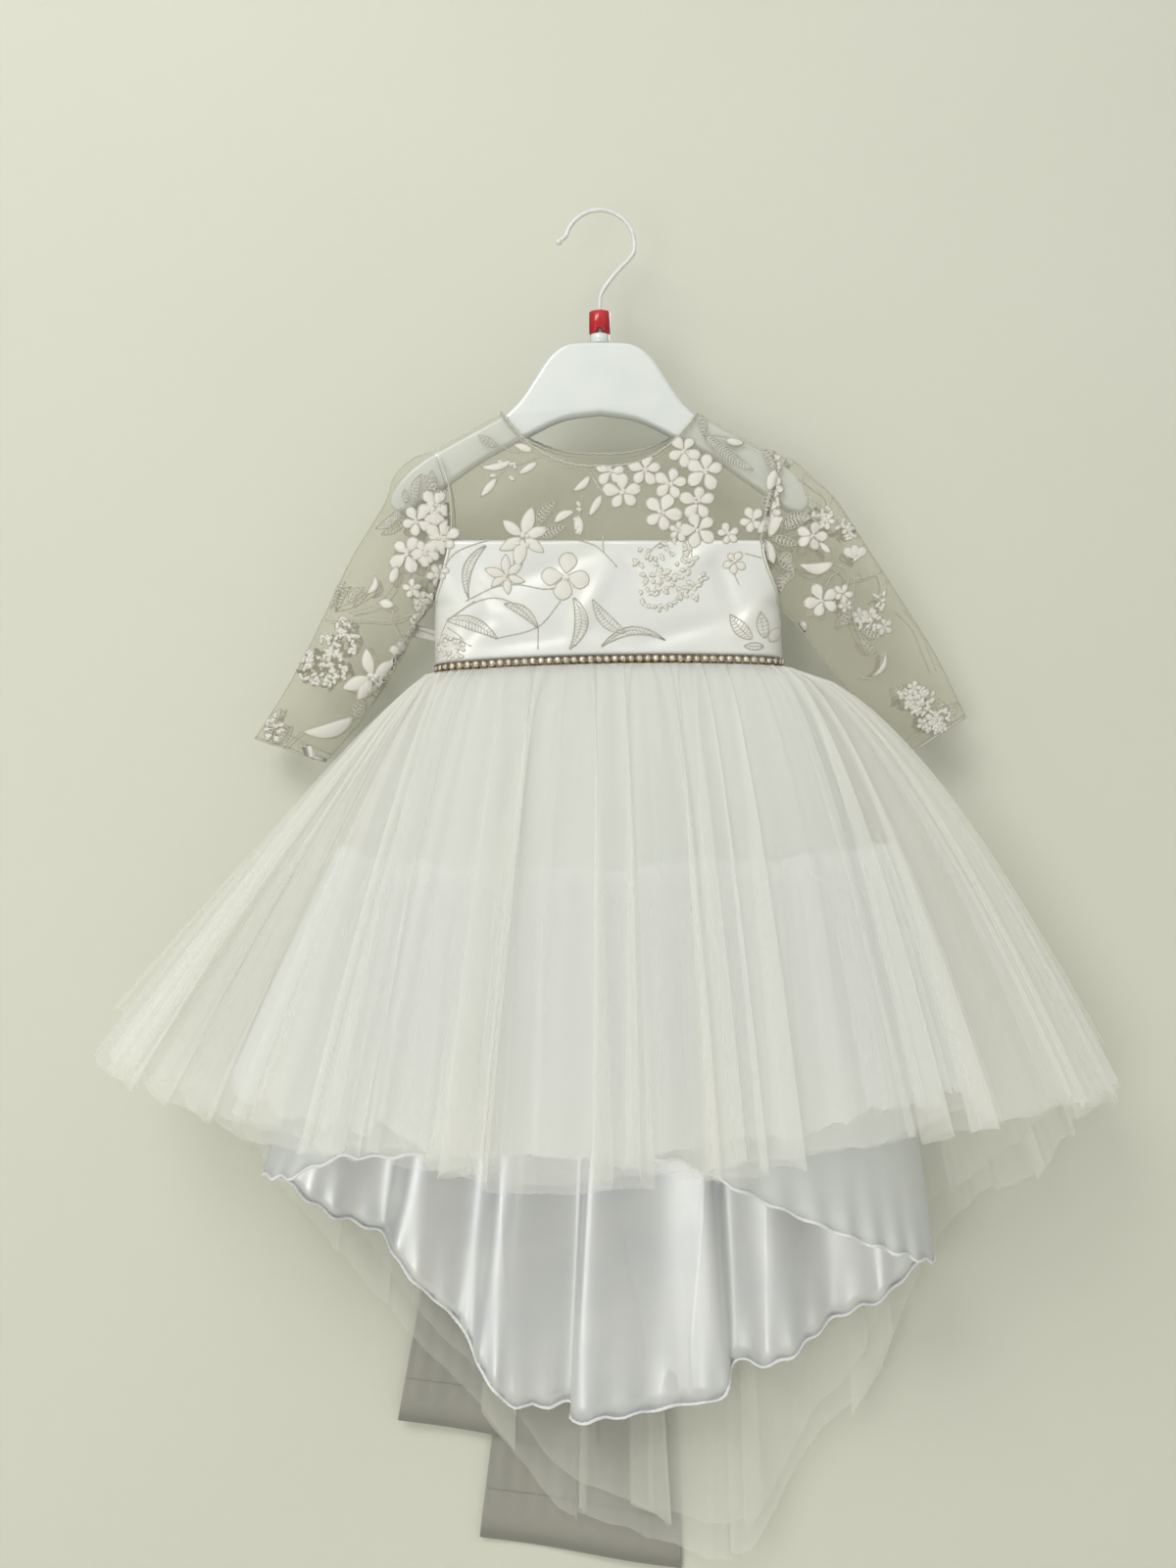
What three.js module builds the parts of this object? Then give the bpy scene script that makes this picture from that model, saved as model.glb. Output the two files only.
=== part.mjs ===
// A christening gown hanging on a child's hanger. Millimetres, +Z up, the front of the gown faces -Y.
// The origin is the underside of the hook's crest, where a rail or a peg carries the hanger.
// Every piece of cloth is a wall that follows the gown's own surface, and sewn pieces stop short of
// each other by the seam gap. The gown hangs a little askew, so its left and right sides differ.

import * as THREE from "three";

// ---------------------------------------------------------------- driving dimensions

const CLOTH = 1;
const SEAM_GAP = 0.6;

const WIRE_RADIUS = 1.6;
const HOOK_RADIUS = 23.4;
const NECK_TOP = -55;
const NECK_END = -66.5;

const RING_TOP = -67.5;
const RING_HEIGHT = 14.5;
const RING_RADIUS = 7.2;
const RING_BORE = 4.2;
const RING_SLIT = 0.35;

const HANGER_TOP = -89;
const HANGER_HALF_WIDTH = 140;
const HANGER_DEPTH = 16;
const HANGER_EDGE = 2;
const ARM_START = 62;
const ARM_END = 116;
const ARM_HEIGHT = -136.8;
const ARM_SLOPE = 0.55;

const SHOULDER_CLEARANCE = 3.4;
const SHOULDER_ROUND = 6;
const NECK_HALF_WIDTH = 66;
const NECK_FRONT = -173;
const NECK_BACK = -160;
const NECK_CURVE = 2.6;

const YOKE_BOTTOM = -223;
const WAIST = -303;
const WAIST_SLOPE = 0.019;
const WAIST_LEFT = -110.3;
const WAIST_RIGHT = 122.4;
const CHAIN_HEIGHT = 5;
const CHAIN_THICKNESS = 2.4;
const UNDERARM = -264;
const ARMHOLE_ROUND = 34;
const SIDE_ROUND = 26;
const SHOULDER_DEPTH = 10.5;
const WAIST_DEPTH = { front: 22, back: 16 };

// Side edges of the bodice as [height, x], from the shoulder end down to the waist.
const LEFT_EDGE = [[-164, -108.8], [-190, -101.5], [-221, -100.5], [-249, -105.6], [-264, -110.2], [-306, -110.3]];
const RIGHT_EDGE = [[-163, 114.2], [-178, 117], [-203, 112], [-231, 109], [-264, 120], [-301, 122.4]];

// Sleeve edges as [x, height] from the armhole to the cuff, and how far back the sleeve has swung there.
const LEFT_SLEEVE = {
  outer: [[-110, -159], [-124, -165], [-138, -178], [-145, -197], [-168, -234], [-188, -273], [-211, -315], [-237, -354]],
  inner: [[-112, -264], [-116, -268], [-120, -274], [-124, -281], [-137, -305], [-152, -327], [-169, -349], [-189, -370]],
  armhole: LEFT_EDGE,
};
const RIGHT_SLEEVE = {
  outer: [[116, -160.5], [130, -167.5], [142, -178], [157, -192], [184, -231], [205, -261], [230, -298], [252, -339]],
  inner: [[123, -268], [127, -272], [132, -277], [138, -284], [150, -299], [167, -319], [187, -343], [209, -367]],
  armhole: RIGHT_EDGE,
};
const SLEEVE_SWING = 24;
const SLEEVE_HEAD_END = 0.46;
const SLEEVE_HEAD_DEPTH = 13;
const SLEEVE_HALF_DEPTH = 9;

// Each skirt layer: the x of its hem at the two side seams, how far its side seams stand forward, how far
// its front and back bow out at the hem, and how far inside the waist seam it starts.
const OVERSKIRT = { left: -326, right: 338, seam: -25, front: 125, back: 61, inset: 0 };
const PETTICOAT = { left: -246, right: 252, seam: -22, front: 108, back: 42, inset: 3 };
const UNDERSKIRT = { left: -222, right: 220, seam: -18, front: 86, back: 32, inset: 5 };
const FLARE = { left: 0.76, right: 0.45, depth: 0.8 };

// Hems as [x, height] from the left side seam to the right one.
const OVERSKIRT_FRONT_HEM = [[-326, -559], [-236, -590], [-91, -614], [13, -618], [96, -611], [237, -588], [338, -583]];
const OVERSKIRT_BACK_HEM = [
  [-326, -559], [-241, -627], [-141, -753], [-81, -818], [-26, -887], [25, -906], [103, -921],
  [143, -850], [188, -797], [232, -698], [311, -631], [338, -583],
];
const UNDERSKIRT_FRONT_HEM = [[-222, -640], [-165, -622], [-91, -612], [40, -614], [97, -640], [160, -668], [220, -697]];
const UNDERSKIRT_BACK_HEM = [
  [-222, -640], [-164, -681], [-121, -704], [-80, -766], [-53, -789], [-5, -811],
  [67, -785], [131, -764], [174, -738], [202, -714], [220, -697],
];
const PETTICOAT_TOP = 0.42;
const PETTICOAT_END = 0.98;

// The two sash tails as their corners: top left, top right, bottom left, bottom right.
const SASH_TAILS = [
  { name: "sash_tail_left", top: [-24, 0], bottom: [[-141, -830], [-2, -852]], back: 43 },
  { name: "sash_tail_right", top: [8, 32], bottom: [[-84, -914], [58, -936]], back: 47 },
];
const SASH_START = -311;
const SASH_START_BACK = 21;
const SASH_FALL = 120;

// ---------------------------------------------------------------- looks

const FINISH = {
  satin: { color: 0xecebe4, roughness: 0.35, metalness: 0 },
  tulle: { color: 0xdadbd0, roughness: 0.9, metalness: 0 },
  netting: { color: 0xc5c5b2, roughness: 0.9, metalness: 0 },
  chain: { color: 0xb7a68a, roughness: 0.25, metalness: 0.8 },
  plastic: { color: 0xe1e5e1, roughness: 0.2, metalness: 0 },
  wire: { color: 0xe4e5e0, roughness: 0.3, metalness: 0 },
  marker: { color: 0xb8202c, roughness: 0.35, metalness: 0 },
};

const gown = new THREE.Group();

function addPiece(name, geometry, finish) {
  const mesh = new THREE.Mesh(geometry, new THREE.MeshStandardMaterial(FINISH[finish]));
  mesh.name = name;
  gown.add(mesh);
}

// ---------------------------------------------------------------- helpers

const mix = THREE.MathUtils.lerp;
const clamp01 = (t) => THREE.MathUtils.clamp(t, 0, 1);

// A quarter round that rises from 0 to 1 over the given distance and then stays at 1.
function quarterRound(distance, reach) {
  const left = 1 - clamp01(distance / reach);
  return Math.sqrt(1 - left * left);
}

// The value of a smooth line through [key, value] pairs, whose keys all rise or all fall.
function through(points, key) {
  const order = points[0][0] < points[points.length - 1][0] ? 1 : -1;
  let i = 0;
  while (i < points.length - 2 && order * (key - points[i + 1][0]) > 0) {
    i += 1;
  }
  const slope = (a, b) => (points[b][1] - points[a][1]) / (points[b][0] - points[a][0]);
  const span = points[i + 1][0] - points[i][0];
  const t = clamp01((key - points[i][0]) / span);
  const here = slope(Math.max(i - 1, 0), i + 1) * span;
  const there = slope(i, Math.min(i + 2, points.length - 1)) * span;
  const t2 = t * t;
  const t3 = t2 * t;
  const ends = (2 * t3 - 3 * t2 + 1) * points[i][1] + (3 * t2 - 2 * t3) * points[i + 1][1];
  return ends + (t3 - 2 * t2 + t) * here + (t3 - t2) * there;
}

// A closed wall of cloth around the surface pointAt(u, v), with u across and v down from 0 to 1.
// A tube closes on itself across.
function clothWall(pointAt, across, down, { thickness = CLOTH, tube = false } = {}) {
  const columns = tube ? across : across + 1;
  const rows = down + 1;
  const middle = [];
  for (let j = 0; j < rows; j += 1) {
    for (let i = 0; i < columns; i += 1) {
      middle.push(pointAt(i / across, j / down));
    }
  }
  const wrap = (i) => (tube ? (i + columns) % columns : THREE.MathUtils.clamp(i, 0, columns - 1));
  const at = (i, j) => middle[THREE.MathUtils.clamp(j, 0, down) * columns + wrap(i)];
  const corners = [];
  for (const side of [1, -1]) {
    for (let j = 0; j < rows; j += 1) {
      for (let i = 0; i < columns; i += 1) {
        const along = at(i + 1, j).clone().sub(at(i - 1, j));
        const below = at(i, j + 1).clone().sub(at(i, j - 1));
        const normal = along.cross(below).normalize();
        corners.push(at(i, j).clone().addScaledVector(normal, (side * thickness) / 2));
      }
    }
  }
  const sheet = columns * rows;
  const faces = [];
  const quad = (a, b, c, d) => faces.push(a, b, c, a, c, d);
  for (let j = 0; j < down; j += 1) {
    for (let i = 0; i < across; i += 1) {
      const a = j * columns + i;
      const b = j * columns + wrap(i + 1);
      quad(a, b, b + columns, a + columns);
      quad(sheet + a + columns, sheet + b + columns, sheet + b, sheet + a);
    }
  }
  for (let i = 0; i < across; i += 1) {
    const a = i;
    const b = wrap(i + 1);
    const last = down * columns;
    quad(a, sheet + a, sheet + b, b);
    quad(last + b, sheet + last + b, sheet + last + a, last + a);
  }
  if (!tube) {
    for (let j = 0; j < down; j += 1) {
      const a = j * columns;
      const b = a + across;
      quad(a + columns, sheet + a + columns, sheet + a, a);
      quad(b, sheet + b, sheet + b + columns, b + columns);
    }
  }
  return facingOut(corners, faces);
}

// Turns corners and faces into a geometry whose faces point out.
function facingOut(corners, faces) {
  let volume = 0;
  for (let k = 0; k < faces.length; k += 3) {
    const [a, b, c] = [corners[faces[k]], corners[faces[k + 1]], corners[faces[k + 2]]];
    volume += a.dot(b.clone().cross(c));
  }
  if (volume < 0) {
    faces.reverse();
  }
  const geometry = new THREE.BufferGeometry();
  geometry.setFromPoints(corners);
  geometry.setIndex(faces);
  return geometry;
}

// ---------------------------------------------------------------- hanger

function hookWire() {
  const centre = WIRE_RADIUS - HOOK_RADIUS;
  const route = [new THREE.Vector3(-HOOK_RADIUS - 4, 0, centre + 2)];
  for (let degrees = 165; degrees >= -15; degrees -= 15) {
    const angle = THREE.MathUtils.degToRad(degrees);
    route.push(new THREE.Vector3(HOOK_RADIUS * Math.cos(angle), 0, centre + HOOK_RADIUS * Math.sin(angle)));
  }
  route.push(new THREE.Vector3(13.5, 0, -38));
  route.push(new THREE.Vector3(2.5, 0, NECK_TOP + 3));
  route.push(new THREE.Vector3(0, 0, NECK_TOP - 3));
  route.push(new THREE.Vector3(0, 0, NECK_END));
  const section = new THREE.Shape().absarc(0, 0, WIRE_RADIUS, 0, Math.PI * 2);
  const extrudePath = new THREE.CatmullRomCurve3(route, false, "centripetal");
  return new THREE.ExtrudeGeometry(section, { steps: 40, curveSegments: 5, extrudePath });
}

// The marker that snaps round the neck: a short split tube.
function sizeRing() {
  const from = Math.PI / 2 + RING_SLIT / 2;
  const to = from + Math.PI * 2 - RING_SLIT;
  const section = new THREE.Shape();
  section.absarc(0, 0, RING_RADIUS, from, to, false);
  section.absarc(0, 0, RING_BORE, to, from, true);
  const geometry = new THREE.ExtrudeGeometry(section, { depth: RING_HEIGHT, curveSegments: 12, bevelEnabled: false });
  return geometry.translate(0, 0, RING_TOP - RING_HEIGHT);
}

// The post that the ring sits round, and the collar that carries the ring.
function ferrule() {
  const post = RING_BORE - 0.6;
  const collar = RING_TOP - RING_HEIGHT - 0.4;
  const foot = HANGER_TOP + 0.4;
  const profile = [[0, foot], [6.6, foot], [6.6, collar], [post, collar], [post, NECK_END - 0.5], [0, NECK_END - 0.5]];
  const points = profile.map(([radius, height]) => new THREE.Vector2(radius, height));
  return new THREE.LatheGeometry(points, 16).rotateX(Math.PI / 2);
}

function armTop(x) {
  return ARM_HEIGHT - ARM_SLOPE * (Math.abs(x) - ARM_START);
}

// The moulded body: a bell-shaped hub, two straight arms and rounded tips, the same on both sides.
function hangerBody() {
  const v = (x, z) => new THREE.Vector2(x, z);
  const hub = [v(0, HANGER_TOP), v(22, -90.5), v(33, -98), v(44, -114), v(53, -127.5), v(ARM_START, armTop(ARM_START))];
  const tip = [v(ARM_END, armTop(ARM_END)), v(128, -176), v(137, -187), v(HANGER_HALF_WIDTH, -197), v(135, -203), v(126, -201)];
  const under = [v(126, -201), v(101, -183), v(78, -167), v(50, -152), v(25, -140), v(0, -136)];
  const half = [
    ...new THREE.SplineCurve(hub).getPoints(12),
    ...new THREE.SplineCurve(tip).getPoints(10),
    ...new THREE.SplineCurve(under).getPoints(12).slice(1),
  ];
  const other = half.slice(1, -1).map((p) => v(-p.x, p.y)).reverse();
  const depth = HANGER_DEPTH - 2 * HANGER_EDGE;
  const geometry = new THREE.ExtrudeGeometry(new THREE.Shape([...half, ...other]), {
    depth,
    bevelThickness: HANGER_EDGE,
    bevelSize: HANGER_EDGE,
    bevelOffset: -HANGER_EDGE,
    bevelSegments: 1,
  });
  return geometry.rotateX(Math.PI / 2).translate(0, depth / 2, 0);
}

// ---------------------------------------------------------------- yoke and bodice

const sign = { front: -1, back: 1 };

function shoulderLine(x) {
  return armTop(x) + SHOULDER_CLEARANCE;
}

function neckLine(side, x) {
  const lowest = side === "front" ? NECK_FRONT : NECK_BACK;
  const rise = shoulderLine(NECK_HALF_WIDTH) - lowest;
  return lowest + rise * Math.abs(x / NECK_HALF_WIDTH) ** NECK_CURVE;
}

function waistLine(x) {
  return WAIST + WAIST_SLOPE * x;
}

// How far the gown stands off its middle plane at a place on the yoke or bodice.
function bodyDepth(side, x, z) {
  const left = through(LEFT_EDGE, z);
  const right = through(RIGHT_EDGE, z);
  const full = mix(SHOULDER_DEPTH, WAIST_DEPTH[side], clamp01((z + 150) / (WAIST + 150)));
  const armhole = quarterRound(z - UNDERARM, ARMHOLE_ROUND);
  const edge = quarterRound(Math.min(x - left, right - x), SIDE_ROUND);
  const shoulder = Math.abs(x) < ARM_START ? 1 : quarterRound(shoulderLine(x) - z, SHOULDER_ROUND);
  return SEAM_GAP / 2 + full * shoulder * mix(edge, 1, armhole);
}

function bodyPoint(side, share, z) {
  const x = mix(through(LEFT_EDGE, z), through(RIGHT_EDGE, z), share);
  return new THREE.Vector3(x, sign[side] * bodyDepth(side, x, z), z);
}

// Columns crowd towards the corners where the neckline leaves the shoulder seams.
function yokeColumn(u) {
  const left = LEFT_EDGE[0][1];
  const right = RIGHT_EDGE[0][1];
  const seam = 0.18;
  if (u <= seam) {
    return mix(left, -NECK_HALF_WIDTH, u / seam);
  }
  if (u >= 1 - seam) {
    return mix(NECK_HALF_WIDTH, right, (u - 1 + seam) / seam);
  }
  const s = (u - 0.5) / (0.5 - seam);
  return NECK_HALF_WIDTH * Math.sign(s) * Math.sin((Math.abs(s) * Math.PI) / 2) ** 0.8;
}

function yoke(side) {
  const left = LEFT_EDGE[0][1];
  const right = RIGHT_EDGE[0][1];
  return clothWall((u, v) => {
    const x = yokeColumn(u);
    const top = Math.abs(x) < NECK_HALF_WIDTH ? neckLine(side, x) : shoulderLine(x);
    return bodyPoint(side, (x - left) / (right - left), mix(top, YOKE_BOTTOM, v ** 2.2));
  }, 22, 6);
}

function bodice(side) {
  return clothWall((u, v) => {
    const share = (1 - Math.cos(Math.PI * u)) / 2;
    const foot = waistLine(mix(WAIST_LEFT, WAIST_RIGHT, share));
    return bodyPoint(side, share, mix(YOKE_BOTTOM - SEAM_GAP, foot, v));
  }, 18, 4);
}

function waistPoint(side, u, inset = 0) {
  const share = (1 - Math.cos(Math.PI * u)) / 2;
  const x = mix(WAIST_LEFT, WAIST_RIGHT, share);
  const out = bodyDepth(side, x, waistLine(x));
  const middle = (WAIST_LEFT + WAIST_RIGHT) / 2;
  const narrower = 1 - (2 * inset) / (WAIST_RIGHT - WAIST_LEFT);
  const shallower = 1 - inset / WAIST_DEPTH[side];
  const y = SEAM_GAP / 2 + (out - SEAM_GAP / 2) * shallower;
  return new THREE.Vector3(mix(middle, x, narrower), sign[side] * y, waistLine(x));
}

function waistChain(side) {
  return clothWall((u, v) => {
    const point = waistPoint(side, u);
    point.y += sign[side] * 0.3;
    point.z -= SEAM_GAP + v * CHAIN_HEIGHT;
    return point;
  }, 18, 1, { thickness: CHAIN_THICKNESS });
}

// ---------------------------------------------------------------- sleeves

// A flattened tube. u goes round from the outer edge over the front to the inner edge and back.
function sleeve({ outer, inner, armhole }) {
  const toward = Math.sign(outer[0][0]);
  const keyed = (line, k) => line.map((p, i) => [i, p[k]]);
  const last = outer.length - 1;
  return clothWall((u, v) => {
    const station = v * last;
    const half = u < 0.5 ? u * 2 : 2 - u * 2;
    const down = half < 0.5 ? mix(0, 0.5, (half * 2) ** 2.2) : mix(1, 0.5, (2 - half * 2) ** 1.6);
    const from = [through(keyed(outer, 0), station), through(keyed(outer, 1), station)];
    const to = [through(keyed(inner, 0), station), through(keyed(inner, 1), station)];
    const width = Math.hypot(to[0] - from[0], to[1] - from[1]);
    const z = mix(from[1], to[1], down);
    const x = mix(from[0], to[0], down);
    const seam = through(armhole, Math.min(z, armhole[0][0])) + toward * 1.6;
    const past = clamp01((v - SLEEVE_HEAD_END) / (1 - SLEEVE_HEAD_END));
    const depth = mix(mix(SHOULDER_DEPTH, SLEEVE_HEAD_DEPTH, clamp01(v * 7)), SLEEVE_HALF_DEPTH, past);
    const round = Math.min(quarterRound(down * width, SHOULDER_ROUND), quarterRound((1 - down) * width, SIDE_ROUND));
    const y = (u < 0.5 ? -1 : 1) * depth * round + SLEEVE_SWING * past ** 1.2;
    return new THREE.Vector3(mix(x, seam, clamp01(1 - v * 7)), y, z);
  }, 12, 14, { tube: true });
}

// ---------------------------------------------------------------- skirts

// A place on a skirt layer: each line of the cloth runs from the waist to the hem and flares on its way.
function skirtPoint(layer, side, hem, u, v, pleats = 0, fullness = 0) {
  const share = (1 - Math.cos(Math.PI * u)) / 2;
  const start = waistPoint(side, u, layer.inset);
  start.z -= SEAM_GAP * 2 + CHAIN_HEIGHT;
  const hemX = mix(layer.left, layer.right, share);
  const bow = sign[side] * layer[side] * Math.sin(Math.PI * u) ** 0.9;
  const flare = mix(FLARE.left, FLARE.right, share);
  const fold = fullness * v ** 0.7 * Math.sin(2 * Math.PI * pleats * u);
  return new THREE.Vector3(
    mix(start.x, hemX, v ** flare) - fold * Math.cos(Math.PI * u),
    mix(start.y, layer.seam + bow + sign[side] * SEAM_GAP, v ** FLARE.depth) + sign[side] * fold * Math.sin(Math.PI * u),
    mix(start.z, through(hem, hemX), v),
  );
}

function overskirt(side, hem, across, down, pleats, fullness) {
  return clothWall((u, v) => skirtPoint(OVERSKIRT, side, hem, u, v, pleats, fullness), across, down);
}

function petticoat(side) {
  const fullness = side === "front" ? 3 : 1;
  return clothWall((u, v) => {
    const down = mix(PETTICOAT_TOP, PETTICOAT_END, v);
    return skirtPoint(PETTICOAT, side, OVERSKIRT_FRONT_HEM, u, down, 6, fullness);
  }, 24, 3);
}

function underskirt(side, hem, across, down, pleats, fullness) {
  return clothWall((u, v) => skirtPoint(UNDERSKIRT, side, hem, u, v, pleats, fullness), across, down);
}

function sashTail({ top, bottom, back }) {
  return clothWall((u, v) => {
    const x = mix(mix(top[0], top[1], u), mix(bottom[0][0], bottom[1][0], u), v ** 0.8);
    const z = mix(SASH_START, mix(bottom[0][1], bottom[1][1], u), v);
    const fallen = THREE.MathUtils.smoothstep(SASH_START - z, 0, SASH_FALL);
    return new THREE.Vector3(x, mix(SASH_START_BACK, back, fallen), z);
  }, 6, 10);
}

// ---------------------------------------------------------------- the whole

addPiece("hanger_hook", hookWire(), "wire");
addPiece("size_ring", sizeRing(), "marker");
addPiece("hanger_ferrule", ferrule(), "plastic");
addPiece("hanger_body", hangerBody(), "plastic");
addPiece("yoke_front", yoke("front"), "netting");
addPiece("yoke_back", yoke("back"), "netting");
addPiece("bodice_front", bodice("front"), "satin");
addPiece("bodice_back", bodice("back"), "satin");
addPiece("waist_chain_front", waistChain("front"), "chain");
addPiece("waist_chain_back", waistChain("back"), "chain");
addPiece("sleeve_left", sleeve(LEFT_SLEEVE), "netting");
addPiece("sleeve_right", sleeve(RIGHT_SLEEVE), "netting");
addPiece("overskirt_front", overskirt("front", OVERSKIRT_FRONT_HEM, 56, 7, 14, 6), "tulle");
addPiece("overskirt_back", overskirt("back", OVERSKIRT_BACK_HEM, 36, 8, 9, 3), "tulle");
addPiece("petticoat_front", petticoat("front"), "tulle");
addPiece("petticoat_back", petticoat("back"), "tulle");
addPiece("underskirt_front", underskirt("front", UNDERSKIRT_FRONT_HEM, 24, 5, 6, 3), "satin");
addPiece("underskirt_back", underskirt("back", UNDERSKIRT_BACK_HEM, 32, 8, 4, 3), "satin");
for (const tail of SASH_TAILS) {
  addPiece(tail.name, sashTail(tail), "satin");
}

export default gown;
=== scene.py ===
# %% [markdown]
# # A christening gown on a child's hanger
# The gown has a sheer lace yoke and sleeves, a satin bodice, a gathered tulle overskirt that is short in
# front and long behind, and a satin underskirt with a train. The frame gives every solid's place. Here each
# piece of cloth is cut again as a thin sheet on its solid's form, with its gathers, folds and trimmings.
# Millimetres are used throughout, because the pattern is drawn in them, and turned to metres at the end.

# %% Load the frame
import math

import bpy
import numpy as np
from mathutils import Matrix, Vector
from mathutils.bvhtree import BVHTree


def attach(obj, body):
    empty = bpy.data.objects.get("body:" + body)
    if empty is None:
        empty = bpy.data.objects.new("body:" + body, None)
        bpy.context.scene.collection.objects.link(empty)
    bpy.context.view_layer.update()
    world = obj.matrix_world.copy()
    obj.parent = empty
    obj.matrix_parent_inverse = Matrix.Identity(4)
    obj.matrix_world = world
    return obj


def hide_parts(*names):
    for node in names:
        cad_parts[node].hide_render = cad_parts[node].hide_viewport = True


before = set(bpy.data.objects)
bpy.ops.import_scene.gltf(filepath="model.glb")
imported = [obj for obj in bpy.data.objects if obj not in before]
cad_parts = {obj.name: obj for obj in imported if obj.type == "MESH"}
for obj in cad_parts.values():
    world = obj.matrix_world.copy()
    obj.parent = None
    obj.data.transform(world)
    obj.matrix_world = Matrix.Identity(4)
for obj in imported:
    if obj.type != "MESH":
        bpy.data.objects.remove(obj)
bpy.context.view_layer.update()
MM = 0.001
rng = np.random.default_rng(7)

# %% [markdown]
# ## Colours and nodes
# Colours are picked as sRGB hex values, and the shader wants linear ones, so one function turns them. One
# small function adds a node with its settings and links, which keeps each material short enough to read.

# %% Colour and node helpers
def linear(code, alpha=1.0):
    """An sRGB hex colour as the linear RGBA that a shader takes."""
    channels = [int(code[k : k + 2], 16) / 255 for k in (1, 3, 5)]
    return (*[c / 12.92 if c <= 0.04045 else ((c + 0.055) / 1.055) ** 2.4 for c in channels], alpha)


def add_node(tree, kind, settings=None, **inputs):
    """A node of a kind, with its settings, and with each input set to a value or linked to a socket."""
    node = tree.nodes.new(kind)
    for key, value in (settings or {}).items():
        setattr(node, key, value)
    for key, value in inputs.items():
        socket = node.inputs[int(key[1:]) if key[1:].isdigit() else key.replace("_", " ")]
        if isinstance(value, bpy.types.NodeSocket):
            tree.links.new(value, socket)
        else:
            socket.default_value = value
    return node


def new_material(name):
    """An empty material: its node tree and its output node."""
    material = bpy.data.materials.new(name)
    material.use_nodes = True
    material.node_tree.nodes.clear()
    return material, material.node_tree, material.node_tree.nodes.new("ShaderNodeOutputMaterial")


print("helpers ready")

# %% [markdown]
# ## Cloth finishes
# Satin is a polyester weave whose long floats all lie one way. The eye sees soft, wide highlights that run
# across the folds, so it is a smooth dielectric with some anisotropy and a fine thread bump. Its colour also
# drifts in broad blotches toward a cooler tone, which on the bodice and train is a painted reflection.
# Tulle is a hexagonal net of nylon thread, mostly holes. Its holes are about 1 mm wide, finer than one dot of
# the finished picture, so the eye sees an even veil. What does show is how the net crinkles along its folds,
# every 20 mm or so of cloth, and how it closes up where it is gathered. Where folds lie over each other, the
# layers add up by themselves, because they are real layers.

# %% Satin, tulle and netting
def satin(name, light, shade, roughness, mirror):
    """Duchess satin, woven of bright polyester with floats down the cloth.

    mirror is how much of its light comes back as a broad gleam and not as matt white.
    """
    material, tree, output = new_material(name)
    place = add_node(tree, "ShaderNodeTexCoord").outputs["Object"]
    cloth = add_node(tree, "ShaderNodeUVMap").outputs[0]
    # Broad blotches move the colour between two tones. The cooler, bluish tone of the bodice and train satins is
    # a painted reflection of the room; the rest is random tone.
    tone_and_painted_reflection = add_node(tree, "ShaderNodeTexNoise", Vector=place, Scale=22.0, Detail=2.0).outputs[0]
    colour = add_node(
        tree, "ShaderNodeMix", {"data_type": "RGBA"}, i0=tone_and_painted_reflection, i6=linear(light), i7=linear(shade)
    ).outputs[2]
    ripples = add_node(tree, "ShaderNodeTexNoise", Vector=place, Scale=38.0, Detail=3.0).outputs[0]
    threads = add_node(tree, "ShaderNodeMapping", Vector=cloth, Scale=(2400.0, 160.0, 1.0)).outputs[0]
    weave = add_node(tree, "ShaderNodeTexNoise", Vector=threads, Scale=1.0, Detail=2.0).outputs[0]
    relief = add_node(tree, "ShaderNodeBump", Strength=0.06, Distance=0.004, Height=ripples).outputs[0]
    relief = add_node(
        tree, "ShaderNodeBump", Strength=0.03, Distance=0.0003, Height=weave, Normal=relief
    ).outputs[0]
    wear = add_node(tree, "ShaderNodeTexNoise", Vector=place, Scale=60.0).outputs[0]
    gloss = add_node(
        tree, "ShaderNodeMapRange", i0=wear, i1=0.0, i2=1.0, i3=roughness - 0.05, i4=roughness + 0.05
    ).outputs[0]
    surface = add_node(
        tree, "ShaderNodeBsdfPrincipled", Base_Color=colour, Roughness=gloss, IOR=1.5, Normal=relief,
        Metallic=mirror, Anisotropic=0.45, Sheen_Weight=0.2, Sheen_Roughness=0.4, Specular_IOR_Level=0.62,
    )
    tree.links.new(surface.outputs[0], output.inputs[0])
    return material


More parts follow.
